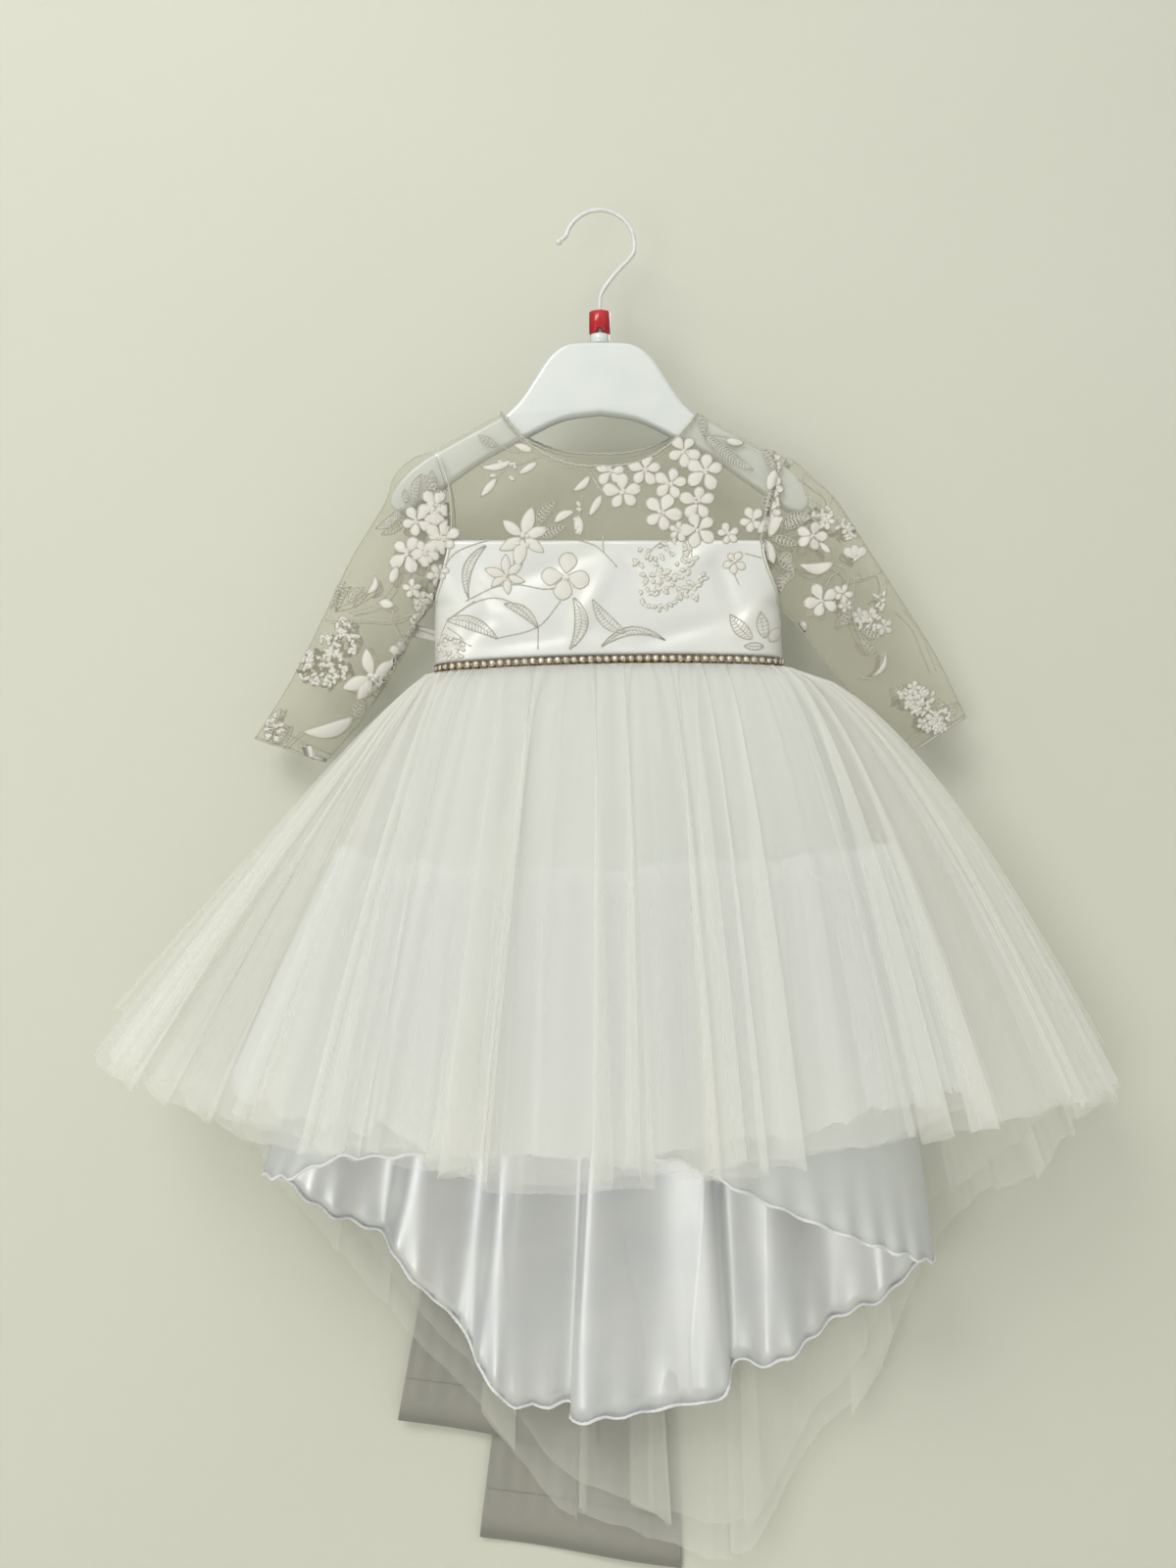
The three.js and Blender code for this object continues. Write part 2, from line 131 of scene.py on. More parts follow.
def see_through(name, thread, shade, cover, gather, streak):
    """Netting: the share of each patch that thread covers scatters light both ways, the rest is holes.

    cover is that share at the free edge, gather how many times denser the gathered edge is, and streak how
    much the crinkles along the cloth change it.
    """
    material, tree, output = new_material(name)
    cloth = add_node(tree, "ShaderNodeUVMap").outputs[0]
    drawn = add_node(tree, "ShaderNodeMapping", Vector=cloth, Scale=(42.0, 1.6, 1.0)).outputs[0]
    crinkles = add_node(tree, "ShaderNodeTexNoise", Vector=drawn, Scale=1.0, Detail=1.0).outputs[0]
    crinkles = add_node(
        tree, "ShaderNodeMapRange", i0=crinkles, i1=0.32, i2=0.68, i3=1 - streak, i4=1 + streak
    ).outputs[0]
    down = add_node(tree, "ShaderNodeSeparateXYZ", Vector=cloth).outputs[1]
    dense = add_node(
        tree, "ShaderNodeMapRange", i0=down, i1=0.0, i2=0.16, i3=cover * gather, i4=cover
    ).outputs[0]
    share = add_node(
        tree, "ShaderNodeMath", {"operation": "MULTIPLY", "use_clamp": True}, i0=dense, i1=crinkles
    ).outputs[0]
    # The thread colour leans a little toward the shade tone where the crinkles thin the net: painted shade along
    # the crinkles.
    colour = add_node(
        tree, "ShaderNodeMix", {"data_type": "RGBA"}, i0=crinkles, i6=linear(shade), i7=linear(thread)
    ).outputs[2]
    front = add_node(tree, "ShaderNodeBsdfDiffuse", Color=colour, Roughness=0.6).outputs[0]
    behind = add_node(tree, "ShaderNodeBsdfTranslucent", Color=colour).outputs[0]
    scattered = add_node(tree, "ShaderNodeMixShader", i0=0.4, i1=front, i2=behind).outputs[0]
    clear = add_node(tree, "ShaderNodeBsdfTransparent").outputs[0]
    surface = add_node(tree, "ShaderNodeMixShader", i0=share, i1=clear, i2=scattered)
    tree.links.new(surface.outputs[0], output.inputs[0])
    return material


# The bluish second tones of the bodice and train satins are painted reflection.
SATIN = satin("polyester_duchess_satin", "#EAE9E0", "#DDE0E0", 0.34, 0.15)
SATIN_TRAIN = satin("polyester_satin_train", "#F2F1EE", "#DCE1E6", 0.42, 0.66)
# The dull side's colours are darkened to paint the shade it lies in under the tulle.
SATIN_DULL_IN_PAINTED_SHADE = satin("polyester_satin_dull_side_painted_shade", "#DCDEDA", "#D2D6D4", 0.6, 0.0)
# The sash satin is coloured dark grey to paint the shade the tails hang in behind the gown.
SATIN_SASH_PAINTED_SHADE = satin("polyester_satin_sash_painted_shade", "#A3A197", "#98978F", 0.42, 0.1)
TULLE = see_through("nylon_soft_tulle", "#F8F8F4", "#E6E6DF", 0.26, 1.6, 0.11)
TRAIN_TULLE = see_through("nylon_soft_tulle_train", "#F0F0EA", "#E0E0D8", 0.33, 1.4, 0.12)
PETTICOAT_TULLE = see_through("nylon_stiff_tulle", "#FCFDFD", "#F3F5F5", 0.66, 0.9, 0.06)
# The netting's khaki-grey thread colours are darkened to paint the shade inside the yoke and sleeves.
NETTING_PAINTED_SHADE = see_through("illusion_netting_painted_shade", "#D8D6C5", "#CAC8B3", 0.3, 1.0, 0.05)
print("cloth finishes:", len(bpy.data.materials))

# %% [markdown]
# ## Thread, stones and plastic
# The lace is machine embroidery: padded satin stitch in white rayon with a silver-grey cord round each petal.
# The waist chain has glass stones in brass cups. The hanger is injection-moulded polystyrene, glossy and
# slightly cool, its hook is powder-coated steel wire, and the ring on its neck is red acetal.

# %% Thread, stone, metal and plastic
def stitched(name, light, shade, pitch, roughness):
    """Satin stitch: rows of bright thread side by side, as fine ridges across the motif."""
    material, tree, output = new_material(name)
    place = add_node(tree, "ShaderNodeTexCoord").outputs["Object"]
    rows = add_node(
        tree, "ShaderNodeTexWave", {"bands_direction": "DIAGONAL"}, Vector=place, Scale=628.0 / pitch,
        Distortion=7.0, Detail=2.0, i4=0.4,
    ).outputs[1]
    # The grooves between the rows, low on the bump, take the darker tone: painted shade in the grooves.
    tone = add_node(tree, "ShaderNodeMapRange", i0=rows, i1=0.1, i2=0.7).outputs[0]
    colour = add_node(
        tree, "ShaderNodeMix", {"data_type": "RGBA"}, i0=tone, i6=linear(shade), i7=linear(light)
    ).outputs[2]
    relief = add_node(tree, "ShaderNodeBump", Strength=0.5, Distance=0.0004, Height=rows).outputs[0]
    surface = add_node(
        tree, "ShaderNodeBsdfPrincipled", Base_Color=colour, Roughness=roughness, IOR=1.5, Normal=relief,
        Sheen_Weight=0.3, Sheen_Roughness=0.4,
    )
    tree.links.new(surface.outputs[0], output.inputs[0])
    return material


def hard_finish(name, light, shade, roughness, grain, metallic=0.0, coat=0.0, coat_roughness=0.08):
    """A moulded, coated, metal or glass skin: two close tones, faint grain marks to a metre, and its gloss."""
    material, tree, output = new_material(name)
    place = add_node(tree, "ShaderNodeTexCoord").outputs["Object"]
    marks = add_node(tree, "ShaderNodeTexNoise", Vector=place, Scale=grain, Detail=4.0).outputs[0]
    tone = add_node(tree, "ShaderNodeMapRange", i0=marks, i1=0.35, i2=0.65).outputs[0]
    colour = add_node(
        tree, "ShaderNodeMix", {"data_type": "RGBA"}, i0=tone, i6=linear(light), i7=linear(shade)
    ).outputs[2]
    gloss = add_node(
        tree, "ShaderNodeMapRange", i0=marks, i1=0.3, i2=0.7, i3=roughness, i4=roughness + 0.06
    ).outputs[0]
    relief = add_node(tree, "ShaderNodeBump", Strength=0.06, Distance=0.0008, Height=marks).outputs[0]
    surface = add_node(
        tree, "ShaderNodeBsdfPrincipled", Base_Color=colour, Roughness=gloss, Normal=relief, Metallic=metallic,
        Coat_Weight=coat, Coat_Roughness=coat_roughness,
    )
    tree.links.new(surface.outputs[0], output.inputs[0])
    return material


WHITE_STITCH = stitched("white_rayon_satin_stitch", "#F4F2EB", "#DAD7CB", 1.1, 0.42)
GREY_CORD = stitched("silver_grey_cord_thread", "#D9D6CB", "#BAB6A8", 0.7, 0.4)
ROLLED_THREAD = stitched("white_overlock_thread", "#FFFFFF", "#EDEEF0", 1.2, 0.5)
HANGER_PLASTIC = hard_finish("moulded_polystyrene_white", "#E3E7E4", "#DEE3E0", 0.16, 40.0, coat=0.5)
HOOK_COAT = hard_finish("powder_coated_steel_wire", "#E9EAE6", "#DDDED9", 0.32, 300.0, coat=0.2)
RING_RED = hard_finish("moulded_acetal_red", "#C8141F", "#A90F1A", 0.22, 200.0, coat=0.4)
CUP_BRASS = hard_finish("tarnished_brass_cup", "#C4AD88", "#8A7048", 0.3, 500.0, metallic=1.0)
STONE = hard_finish(
    "foil_backed_glass_stone", "#F4F3F0", "#A8A6A2", 0.05, 700.0, 0.35, coat=1.0, coat_roughness=0.02
)
print("finishes in all:", len(bpy.data.materials))

# %% [markdown]
# ## From a grid of points to a piece of cloth
# A cut piece of cloth is a sheet, so each one is a grid of points with four-sided faces. Its second map holds
# the place on the flat cloth in metres, which is where a weave or a net belongs, because it bends and gathers
# with the cloth. Small trimmings are many little shapes joined into one mesh.

# %% Mesh helpers
def finish_mesh(name, points, faces, material, cloth=None):
    """A shown object from points in millimetres, riding on the gown's one body."""
    mesh = bpy.data.meshes.new(name)
    corners = [[int(corner) for corner in face] for face in faces]
    mesh.from_pydata((np.asarray(points, float) * MM).tolist(), [], corners)
    if cloth is not None:
        flat_map = mesh.uv_layers.new(name="Cloth")
        corners = np.zeros(len(mesh.loops), int)
        mesh.loops.foreach_get("vertex_index", corners)
        flat_map.data.foreach_set("uv", np.asarray(cloth, float)[corners].ravel())
    mesh.polygons.foreach_set("use_smooth", np.ones(len(mesh.polygons), bool))
    mesh.update()
    piece = bpy.data.objects.new(name, mesh)
    bpy.context.scene.collection.objects.link(piece)
    mesh.materials.append(material)
    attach(piece, "root")
    return piece


def grid_faces(rows, columns, closed=False):
    """Four-sided faces of a grid whose points run row by row."""
    across = columns if closed else columns - 1
    j, i = np.meshgrid(np.arange(rows - 1), np.arange(across), indexing="ij")
    a = (j * columns + i).ravel()
    b = (j * columns + (i + 1) % columns).ravel()
    return np.stack([a, b, b + columns, a + columns], axis=1)


def sheet_piece(name, grid, material, size, closed=False, wall=0.0):
    """A sheet from a grid of points; size, in millimetres, sets the scale of the pattern drawn on it."""
    rows, columns = grid.shape[:2]
    down, across = np.meshgrid(np.linspace(0, size[1], rows), np.linspace(0, size[0], columns), indexing="ij")
    cloth = np.stack([across, down], axis=-1).reshape(-1, 2) * MM
    piece = finish_mesh(name, grid.reshape(-1, 3), grid_faces(rows, columns, closed), material, cloth)
    if wall:
        thicken = piece.modifiers.new("cloth", "SOLIDIFY")
        thicken.thickness = wall * MM
        thicken.offset = 0.0
    return piece


def area_of(piece):
    """The piece's cloth area in square metres, one side of it."""
    return sum(face.area for face in piece.data.polygons)


def cord_shape(route, radius, sides=5, closed=False):
    """Points and faces of a round cord along a route; the radius may change along it."""
    route = np.asarray(route, float)
    count = len(route)
    if closed:
        along = np.roll(route, -1, axis=0) - np.roll(route, 1, axis=0)
    else:
        along = np.gradient(route, axis=0)
    along /= np.maximum(np.linalg.norm(along, axis=1), 1e-9)[:, None]
    lead = np.array([0.0, 1.0, 0.0])
    side = np.cross(along, lead)
    weak = np.linalg.norm(side, axis=1) < 0.05
    side[weak] = np.cross(along[weak], [1.0, 0.0, 0.0])
    side /= np.linalg.norm(side, axis=1)[:, None]
    up = np.cross(side, along)
    turn = np.arange(sides) * 2 * math.pi / sides
    reach = np.broadcast_to(radius, count)[:, None, None]
    ring = side[:, None] * np.cos(turn)[None, :, None] + up[:, None] * np.sin(turn)[None, :, None]
    points = (route[:, None] + ring * reach).reshape(-1, 3)
    faces = grid_faces(count, sides, closed=True)
    if closed:
        last = (count - 1) * sides
        k = np.arange(sides)
        faces = np.vstack([faces, np.stack([last + k, last + (k + 1) % sides, (k + 1) % sides, k], axis=1)])
        return points, faces.tolist()
    return points, [*faces.tolist(), list(range(sides))[::-1], list(range((count - 1) * sides, count * sides))]


def joined_piece(name, shapes, material):
    """Many small shapes, each its points and faces, as one mesh."""
    points, faces, start = [], [], 0
    for shape_points, shape_faces in shapes:
        points.append(np.asarray(shape_points, float))
        faces.extend([[corner + start for corner in face] for face in shape_faces])
        start += len(shape_points)
    return finish_mesh(name, np.vstack(points), faces, material)


print("mesh helpers ready")

# %% [markdown]
# ## The gown's own form
# The pattern is the one the solids were made from: side edges as heights and widths, a depth that swells from
# the shoulders to the waist, and skirts whose cloth lines run from the waist to a hem curve. Every finer
# piece below asks these few functions for its place, so it can't drift from its solid.

# %% The pattern's sizes
SHOULDER_DEPTH = 10.5
WAIST_DEPTH = {"front": 22.0, "back": 16.0}
SIGN = {"front": -1.0, "back": 1.0}
LEFT_EDGE = [[-164, -108.8], [-190, -101.5], [-221, -100.5], [-249, -105.6], [-264, -110.2], [-306, -110.3]]
RIGHT_EDGE = [[-163, 114.2], [-178, 117], [-203, 112], [-231, 109], [-264, 120], [-301, 122.4]]
NECK_HALF_WIDTH = 66.0
YOKE_BOTTOM = -223.0
UNDERARM = -264.0
WAIST = -303.0
SKIRT_DROP = 6.2
LEFT_SLEEVE = {
    "outer": [[-110, -159], [-124, -165], [-138, -178], [-145, -197], [-168, -234], [-188, -273], [-211, -315],
              [-237, -354]],
    "inner": [[-112, -264], [-116, -268], [-120, -274], [-124, -281], [-137, -305], [-152, -327], [-169, -349],
              [-189, -370]],
    "armhole": LEFT_EDGE,
}
RIGHT_SLEEVE = {
    "outer": [[116, -160.5], [130, -167.5], [142, -178], [157, -192], [184, -231], [205, -261], [230, -298],
              [252, -339]],
    "inner": [[123, -268], [127, -272], [132, -277], [138, -284], [150, -299], [167, -319], [187, -343],
              [209, -367]],
    "armhole": RIGHT_EDGE,
}
OVERSKIRT = {"left": -326, "right": 338, "seam": -25, "front": 125, "back": 61, "inset": 0}
PETTICOAT = {"left": -246, "right": 252, "seam": -22, "front": 108, "back": 42, "inset": 3}
UNDERSKIRT = {"left": -222, "right": 220, "seam": -18, "front": 86, "back": 32, "inset": 5}
OVERSKIRT_HEM = {
    "front": [[-326, -559], [-236, -590], [-91, -614], [13, -618], [96, -611], [237, -588], [338, -583]],
    "back": [[-326, -559], [-241, -627], [-141, -753], [-81, -818], [-26, -887], [25, -906], [103, -921],
             [143, -850], [188, -797], [232, -698], [311, -631], [338, -583]],
}
UNDERSKIRT_HEM = {
    "front": [[-222, -640], [-165, -622], [-91, -612], [40, -614], [97, -640], [160, -668], [220, -697]],
    "back": [[-222, -640], [-164, -681], [-121, -704], [-80, -766], [-53, -789], [-5, -811], [67, -785],
             [131, -764], [174, -738], [202, -714], [220, -697]],
}


# %% The pattern's surfaces
def mix(first, second, share):
    return first + (second - first) * share


def smooth_step(value, low, high):
    t = np.clip((value - low) / (high - low), 0, 1)
    return t * t * (3 - 2 * t)


def quarter_round(distance, reach):
    """Rises from 0 to 1 as a quarter circle over the reach."""
    return np.sqrt(1 - (1 - np.clip(distance / reach, 0, 1)) ** 2)


def through(points, key):
    """The value of a smooth line through pairs of key and value."""
    keys, values = np.array(points, float).T
    if keys[0] > keys[-1]:
        keys, key = -keys, -np.asarray(key, float)
    i = np.clip(np.searchsorted(keys, key, side="left") - 1, 0, len(keys) - 2)
    before, after = np.maximum(i - 1, 0), np.minimum(i + 2, len(keys) - 1)
    span = keys[i + 1] - keys[i]
    t = np.clip((key - keys[i]) / span, 0, 1)
    here = (values[i + 1] - values[before]) / (keys[i + 1] - keys[before]) * span
    there = (values[after] - values[i]) / (keys[after] - keys[i]) * span
    ends = (2 * t**3 - 3 * t**2 + 1) * values[i] + (3 * t**2 - 2 * t**3) * values[i + 1]
    return ends + (t**3 - 2 * t**2 + t) * here + (t**3 - t**2) * there


def shoulder_line(x):
    return -133.4 - 0.55 * (np.abs(x) - 62)


def neck_line(side, x):
    lowest = -173.0 if side == "front" else -160.0
    return lowest + (shoulder_line(NECK_HALF_WIDTH) - lowest) * np.abs(x / NECK_HALF_WIDTH) ** 2.6


def waist_line(x):
    """The waist seam, which rises by 3.5 mm to its middle."""
    return WAIST + 0.019 * x + 3.5 * np.clip(1 - ((x - 6) / 116) ** 2, 0, 1)


def body_depth(side, x, z):
    """How far yoke and bodice stand off the gown's middle plane."""
    left, right = through(LEFT_EDGE, z), through(RIGHT_EDGE, z)
    full = mix(SHOULDER_DEPTH, WAIST_DEPTH[side], np.clip((z + 150) / (WAIST + 150), 0, 1))
    armhole = quarter_round(z - UNDERARM, 34)
    edge = quarter_round(np.minimum(x - left, right - x), 26)
    shoulder = np.where(np.abs(x) < 62, 1.0, quarter_round(shoulder_line(x) - z, 6))
    return 0.3 + full * shoulder * mix(edge, 1.0, armhole)


def side_share(u):
    return (1 - np.cos(math.pi * u)) / 2


def waist_point(side, u, inset=0.0):
    x = mix(LEFT_EDGE[-1][1], RIGHT_EDGE[-1][1], side_share(u))
    depth = body_depth(side, x, waist_line(x))
    middle = (LEFT_EDGE[-1][1] + RIGHT_EDGE[-1][1]) / 2
    narrower = 1 - 2 * inset / (RIGHT_EDGE[-1][1] - LEFT_EDGE[-1][1])
    y = SIGN[side] * (0.3 + (depth - 0.3) * (1 - inset / WAIST_DEPTH[side]))
    return mix(middle, x, narrower), y, waist_line(x)


def skirt_point(layer, side, hem, u, v, out=0.0, longer=0.0):
    """A place on a skirt layer, out millimetres off it and with its hem longer by some millimetres."""
    x, y, z = waist_point(side, u, layer["inset"])
    share = side_share(u)
    hem_x = mix(layer["left"], layer["right"], share)
    bow = SIGN[side] * layer[side] * np.abs(np.sin(math.pi * np.clip(u, 0, 1))) ** 0.9
    down = z - SKIRT_DROP
    outward = SIGN[side] * out * np.sin(math.pi * np.clip(u, 0, 1))
    return np.stack([
        mix(x, hem_x, v ** mix(0.76, 0.45, share)) - out * np.cos(math.pi * u),
        mix(y, layer["seam"] + bow + SIGN[side] * 0.6, v**0.8) + outward,
        mix(down, through(hem, hem_x) - longer, v),
    ], axis=-1)


def sleeve_point(sleeve, u, v):
    """A place on a sleeve: u goes round it from its outer edge over the front, v from armhole to cuff."""
    outer, inner = sleeve["outer"], sleeve["inner"]
    toward = math.copysign(1, outer[0][0])
    station = v * (len(outer) - 1)
    half = np.where(u < 0.5, u * 2, 2 - u * 2)
    down = np.where(half < 0.5, mix(0, 0.5, (half * 2) ** 2.2), mix(1, 0.5, np.clip(2 - half * 2, 0, 1) ** 1.6))
    start, end = (
        [through([[i, p[k]] for i, p in enumerate(line)], station) for k in (0, 1)] for line in (outer, inner)
    )
    width = np.hypot(end[0] - start[0], end[1] - start[1])
    x, z = mix(start[0], end[0], down), mix(start[1], end[1], down)
    seam = through(sleeve["armhole"], np.minimum(z, sleeve["armhole"][0][0])) + toward * 1.6
    past = np.clip((v - 0.46) / 0.54, 0, 1)
    depth = mix(mix(SHOULDER_DEPTH, 13.0, np.clip(v * 7, 0, 1)), 9.0, past)
    swell = np.minimum(quarter_round(down * width, 6), quarter_round((1 - down) * width, 26))
    y = np.where(u < 0.5, -1, 1) * depth * swell + 24 * past**1.2
    return np.stack([mix(x, seam, np.clip(1 - v * 7, 0, 1)), y, z], axis=-1)


def across_and_down(across, down, top=0.0, bottom=1.0):
    """Even steps across and down a piece, as two grids."""
    v, u = np.meshgrid(np.linspace(top, bottom, down), np.linspace(0, 1, across), indexing="ij")
    return u, v


print("waist:", [round(float(p), 1) for p in waist_point("front", np.array(0.5))])

# %% [markdown]
# ## The hanger
# A child's top hanger is moulded in one piece: a bell-shaped hub and two arms with rounded edges. A drawn
# outline with a rounded section gives that shape best. The hook is one bent wire with a ball end, so it is a
# cord along its route; the ring is a short split tube, and the ferrule a turned profile.

# %% Hanger body, hook, ferrule and ring
def rounded_slab(outline, depth, edge, steps=5):
    """A slab from an outline in X and Z, with its two edges rounded."""
    outline = np.asarray(outline, float)
    along = np.roll(outline, -1, axis=0) - np.roll(outline, 1, axis=0)
    inward = np.stack([along[:, 1], -along[:, 0]], axis=1)
    inward /= np.linalg.norm(inward, axis=1)[:, None]
    rings = []
    for corner in (-1, 1):
        angles = np.linspace(0, math.pi / 2, steps)
        for angle in angles if corner < 0 else angles[::-1]:
            flat = outline + inward * edge * (1 - math.sin(angle))
            y = corner * (depth / 2 - edge * (1 - math.cos(angle)))
            rings.append(np.stack([flat[:, 0], np.full(len(flat), y), flat[:, 1]], axis=1))
    points = np.vstack(rings)
    faces = grid_faces(len(rings), len(outline), closed=True).tolist()
    last = (len(rings) - 1) * len(outline)
    faces.append(list(range(len(outline)))[::-1])
    faces.append(list(range(last, last + len(outline))))
    return points, faces


def smooth_route(points, count):
    """A smooth line through points in a plane, evenly stepped."""
    points = np.asarray(points, float)
    length = np.concatenate([[0], np.cumsum(np.linalg.norm(np.diff(points, axis=0), axis=1))])
    steps = np.linspace(0, length[-1], count)
    columns = [through(np.stack([length, points[:, k]], axis=1), steps) for k in range(points.shape[1])]
    return np.stack(columns, axis=1)


def hanger_outline():
    hub = smooth_route([(0, -89), (22, -90.5), (33, -98), (44, -114), (53, -127.5), (62, -136.8)], 40)
    tip = smooth_route([(116, -166.5), (128, -176), (137, -187), (140, -197), (135, -203), (126, -201)], 30)
    under = smooth_route([(126, -201), (101, -183), (78, -167), (50, -152), (25, -140), (0, -136)], 40)
    half = np.vstack([hub, smooth_route([(62, -136.8), (116, -166.5)], 12)[1:-1], tip, under[1:]])
    return np.vstack([half, half[-2:0:-1] * [-1, 1]])


def turned(profile, sides=32):
    """A turned shape from (radius, height) pairs."""
    turn = np.arange(sides) * 2 * math.pi / sides
    rings = [np.stack([r * np.cos(turn), r * np.sin(turn), np.full(sides, z)], axis=1) for r, z in profile]
    return np.vstack(rings), grid_faces(len(profile), sides, closed=True).tolist()


body_points, body_faces = rounded_slab(hanger_outline(), 16.0, 2.6)
hanger_body = finish_mesh("hanger_body_moulded", body_points, body_faces, HANGER_PLASTIC)
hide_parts("hanger_body")

bend = np.radians(np.linspace(165, -15, 40))
route = [(-27.4, -19.8)]
route += [(23.4 * math.cos(a), -21.8 + 23.4 * math.sin(a)) for a in bend]
route += [(18.5, -33), (13.5, -38), (7.5, -45), (2.5, -52), (0.4, -57), (0, -66.5)]
wire = smooth_route(route, 90)
wire = np.stack([wire[:, 0], np.zeros(len(wire)), wire[:, 1]], axis=1)
ball_turn = np.linspace(0, math.pi, 12)
ball_points, ball_faces = turned([(2.3 * math.sin(a) + 1e-3, 2.3 * math.cos(a)) for a in ball_turn], 16)
hook = joined_piece(
    "hanger_hook_wire",
    [cord_shape(wire, 1.55, 14), (ball_points + wire[0], ball_faces)],
    HOOK_COAT,
)
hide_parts("hanger_hook")

collar = [(0.01, -88.8), (6.2, -88.8), (6.6, -88.2), (6.6, -83.2), (6.1, -82.6), (3.6, -82.4), (3.6, -67.6),
          (3.1, -67.0), (0.01, -67.0)]
ferrule = joined_piece("hanger_ferrule_turned", [turned(collar)], HANGER_PLASTIC)
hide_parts("hanger_ferrule")


def ring_shape():
    """The split ring, with a small round notch in its lower front edge."""
    angles = np.linspace(math.pi / 2 + 0.17, math.pi * 2.5 - 0.17, 72)
    facing = np.abs((angles - 1.5 * math.pi + math.pi) % (2 * math.pi) - math.pi)
    foot = -82.0 + 3.0 * np.sqrt(np.clip(1 - (facing / 0.38) ** 2, 0, 1))
    rings = []
    for radius, top, lift in (
        (4.3, 0, 1), (6.8, 0, 1), (7.15, 0.35, 1), (7.15, 0.35, 0), (6.8, 0, 0), (4.3, 0, 0),
    ):
        z = np.where(lift, -67.5 - top, foot + top)
        level = np.broadcast_to(z, angles.shape)
        rings.append(np.stack([radius * np.cos(angles), radius * np.sin(angles), level], 1))
    loops = np.stack(rings, axis=1)
    count = len(rings)
    faces = grid_faces(len(angles), count, closed=True).tolist()
    last = (len(angles) - 1) * count
    return loops.reshape(-1, 3), [*faces, list(range(count)), list(range(last, last + count))[::-1]]


ring = joined_piece("size_ring_split", [ring_shape()], RING_RED)
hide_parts("size_ring")
print("hanger pieces:", hanger_body.name, hook.name, ferrule.name, ring.name)

# %% [markdown]
# ## Yoke and bodice
# The yoke is one layer of illusion netting, cut high at the back, that lies over the hanger's arms. The satin
# bodice hangs from it nearly flat, pulled into slack drags between its side seams and the waist seam. The
# sheet is its solid's own surface with those drags pressed in one by one as soft troughs.

# %% Yoke and bodice
def soft_trough(x, z, centre, angle, length, width):
    """1 along the middle of a crease on the cloth, fading to 0 at its sides and ends."""
    c, s = math.cos(math.radians(angle)), math.sin(math.radians(angle))
    along = (x - centre[0]) * c + (z - centre[1]) * s
    off = -(x - centre[0]) * s + (z - centre[1]) * c
    return np.exp(-((along / length) ** 2) - (off / width) ** 2)


# Each drag: its middle on the cloth, its angle, half its length, its width and how far it sinks.
BODICE_DRAGS = [
    ((-88, -246), -62, 26, 6, 1.6), ((-66, -262), -35, 30, 7, -1.4), ((-30, -240), 20, 34, 7, 1.5),
    ((-8, -268), 62, 24, 6, -1.5), ((22, -246), -48, 26, 7, 1.7), ((52, -284), 15, 32, 6, 1.4),
    ((84, -256), -70, 26, 6, 1.8), ((100, -274), 50, 18, 5, -1.3), ((-45, -289), 8, 36, 6, 1.3),
    ((8, -288), -30, 20, 6, 1.2), ((66, -236), 35, 22, 7, -1.5), ((-84, -284), 40, 20, 6, 1.5),
]
YOKE_DRAGS = [
    ((-84, -170), -80, 26, 6, 1.2), ((-50, -196), -50, 30, 8, -1.0), ((0, -200), 3, 44, 9, 1.1),
    ((52, -200), 45, 28, 8, -1.0), ((88, -178), 76, 26, 6, 1.2),
]


def body_grid(side, across, down, top, drags):
    """A grid on the yoke or bodice. top gives its upper edge, and its foot follows the piece below."""
    u, v = across_and_down(across, down)
    if top is None:
        share = side_share(u)
        upper, lower = YOKE_BOTTOM - 0.4, waist_line(mix(-110.3, 122.4, share))
    else:
        x = np.sin((u - 0.5) * math.pi) * 0.5 + 0.5
        share = mix(x, u, 0.45)
        upper, lower = top(mix(-108.8, 114.2, share)), YOKE_BOTTOM
        v = v**1.7
    z = mix(upper, lower, v)
    x = mix(through(LEFT_EDGE, z), through(RIGHT_EDGE, z), share)
    depth = body_depth(side, x, z)
    free = quarter_round(depth - 0.3, 10)
    for centre, angle, length, width, sink in drags:
        mirrored = (centre[0] if side == "front" else -centre[0], centre[1])
        turned_angle = angle if side == "front" else -angle
        depth = depth - sink * soft_trough(x, z, mirrored, turned_angle, length, width) * free
    return np.stack([x, SIGN[side] * depth, z], axis=-1)


def yoke_top(side):
    return lambda x: np.where(np.abs(x) < NECK_HALF_WIDTH, neck_line(side, x), shoulder_line(x))


body_pieces = {}
for side in ("front", "back"):
    yoke_grid = body_grid(side, 161, 60, yoke_top(side), YOKE_DRAGS)
    yoke = sheet_piece(f"yoke_{side}_netting", yoke_grid, NETTING_PAINTED_SHADE, (226, 88))
    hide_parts(f"yoke_{side}")
    bodice_grid = body_grid(side, 141, 32, None, BODICE_DRAGS)
    bodice = sheet_piece(f"bodice_{side}_satin", bodice_grid, SATIN, (240, 81), wall=0.7)
    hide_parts(f"bodice_{side}")
    body_pieces[side] = (yoke, bodice)
    print(side, "yoke", round(area_of(yoke), 4), "bodice", round(area_of(bodice), 4), "m2")

# %% [markdown]
# ## Sleeves
# Each sleeve is a flat tube of the same netting that hangs a little behind the skirt. It buckles softly where
# the elbow would be, and its seam edge and cuff are turned under, which shows as a denser narrow band.

# %% Sleeves
# Each buckle: its place down the sleeve, how it leans round it, and its depth in millimetres.
ELBOW_BUCKLES = [(0.3, 0.5, 1.2), (0.42, -0.6, -1.0), (0.56, 0.7, 1.3), (0.7, -0.5, 1.1), (0.84, 0.4, -0.9)]


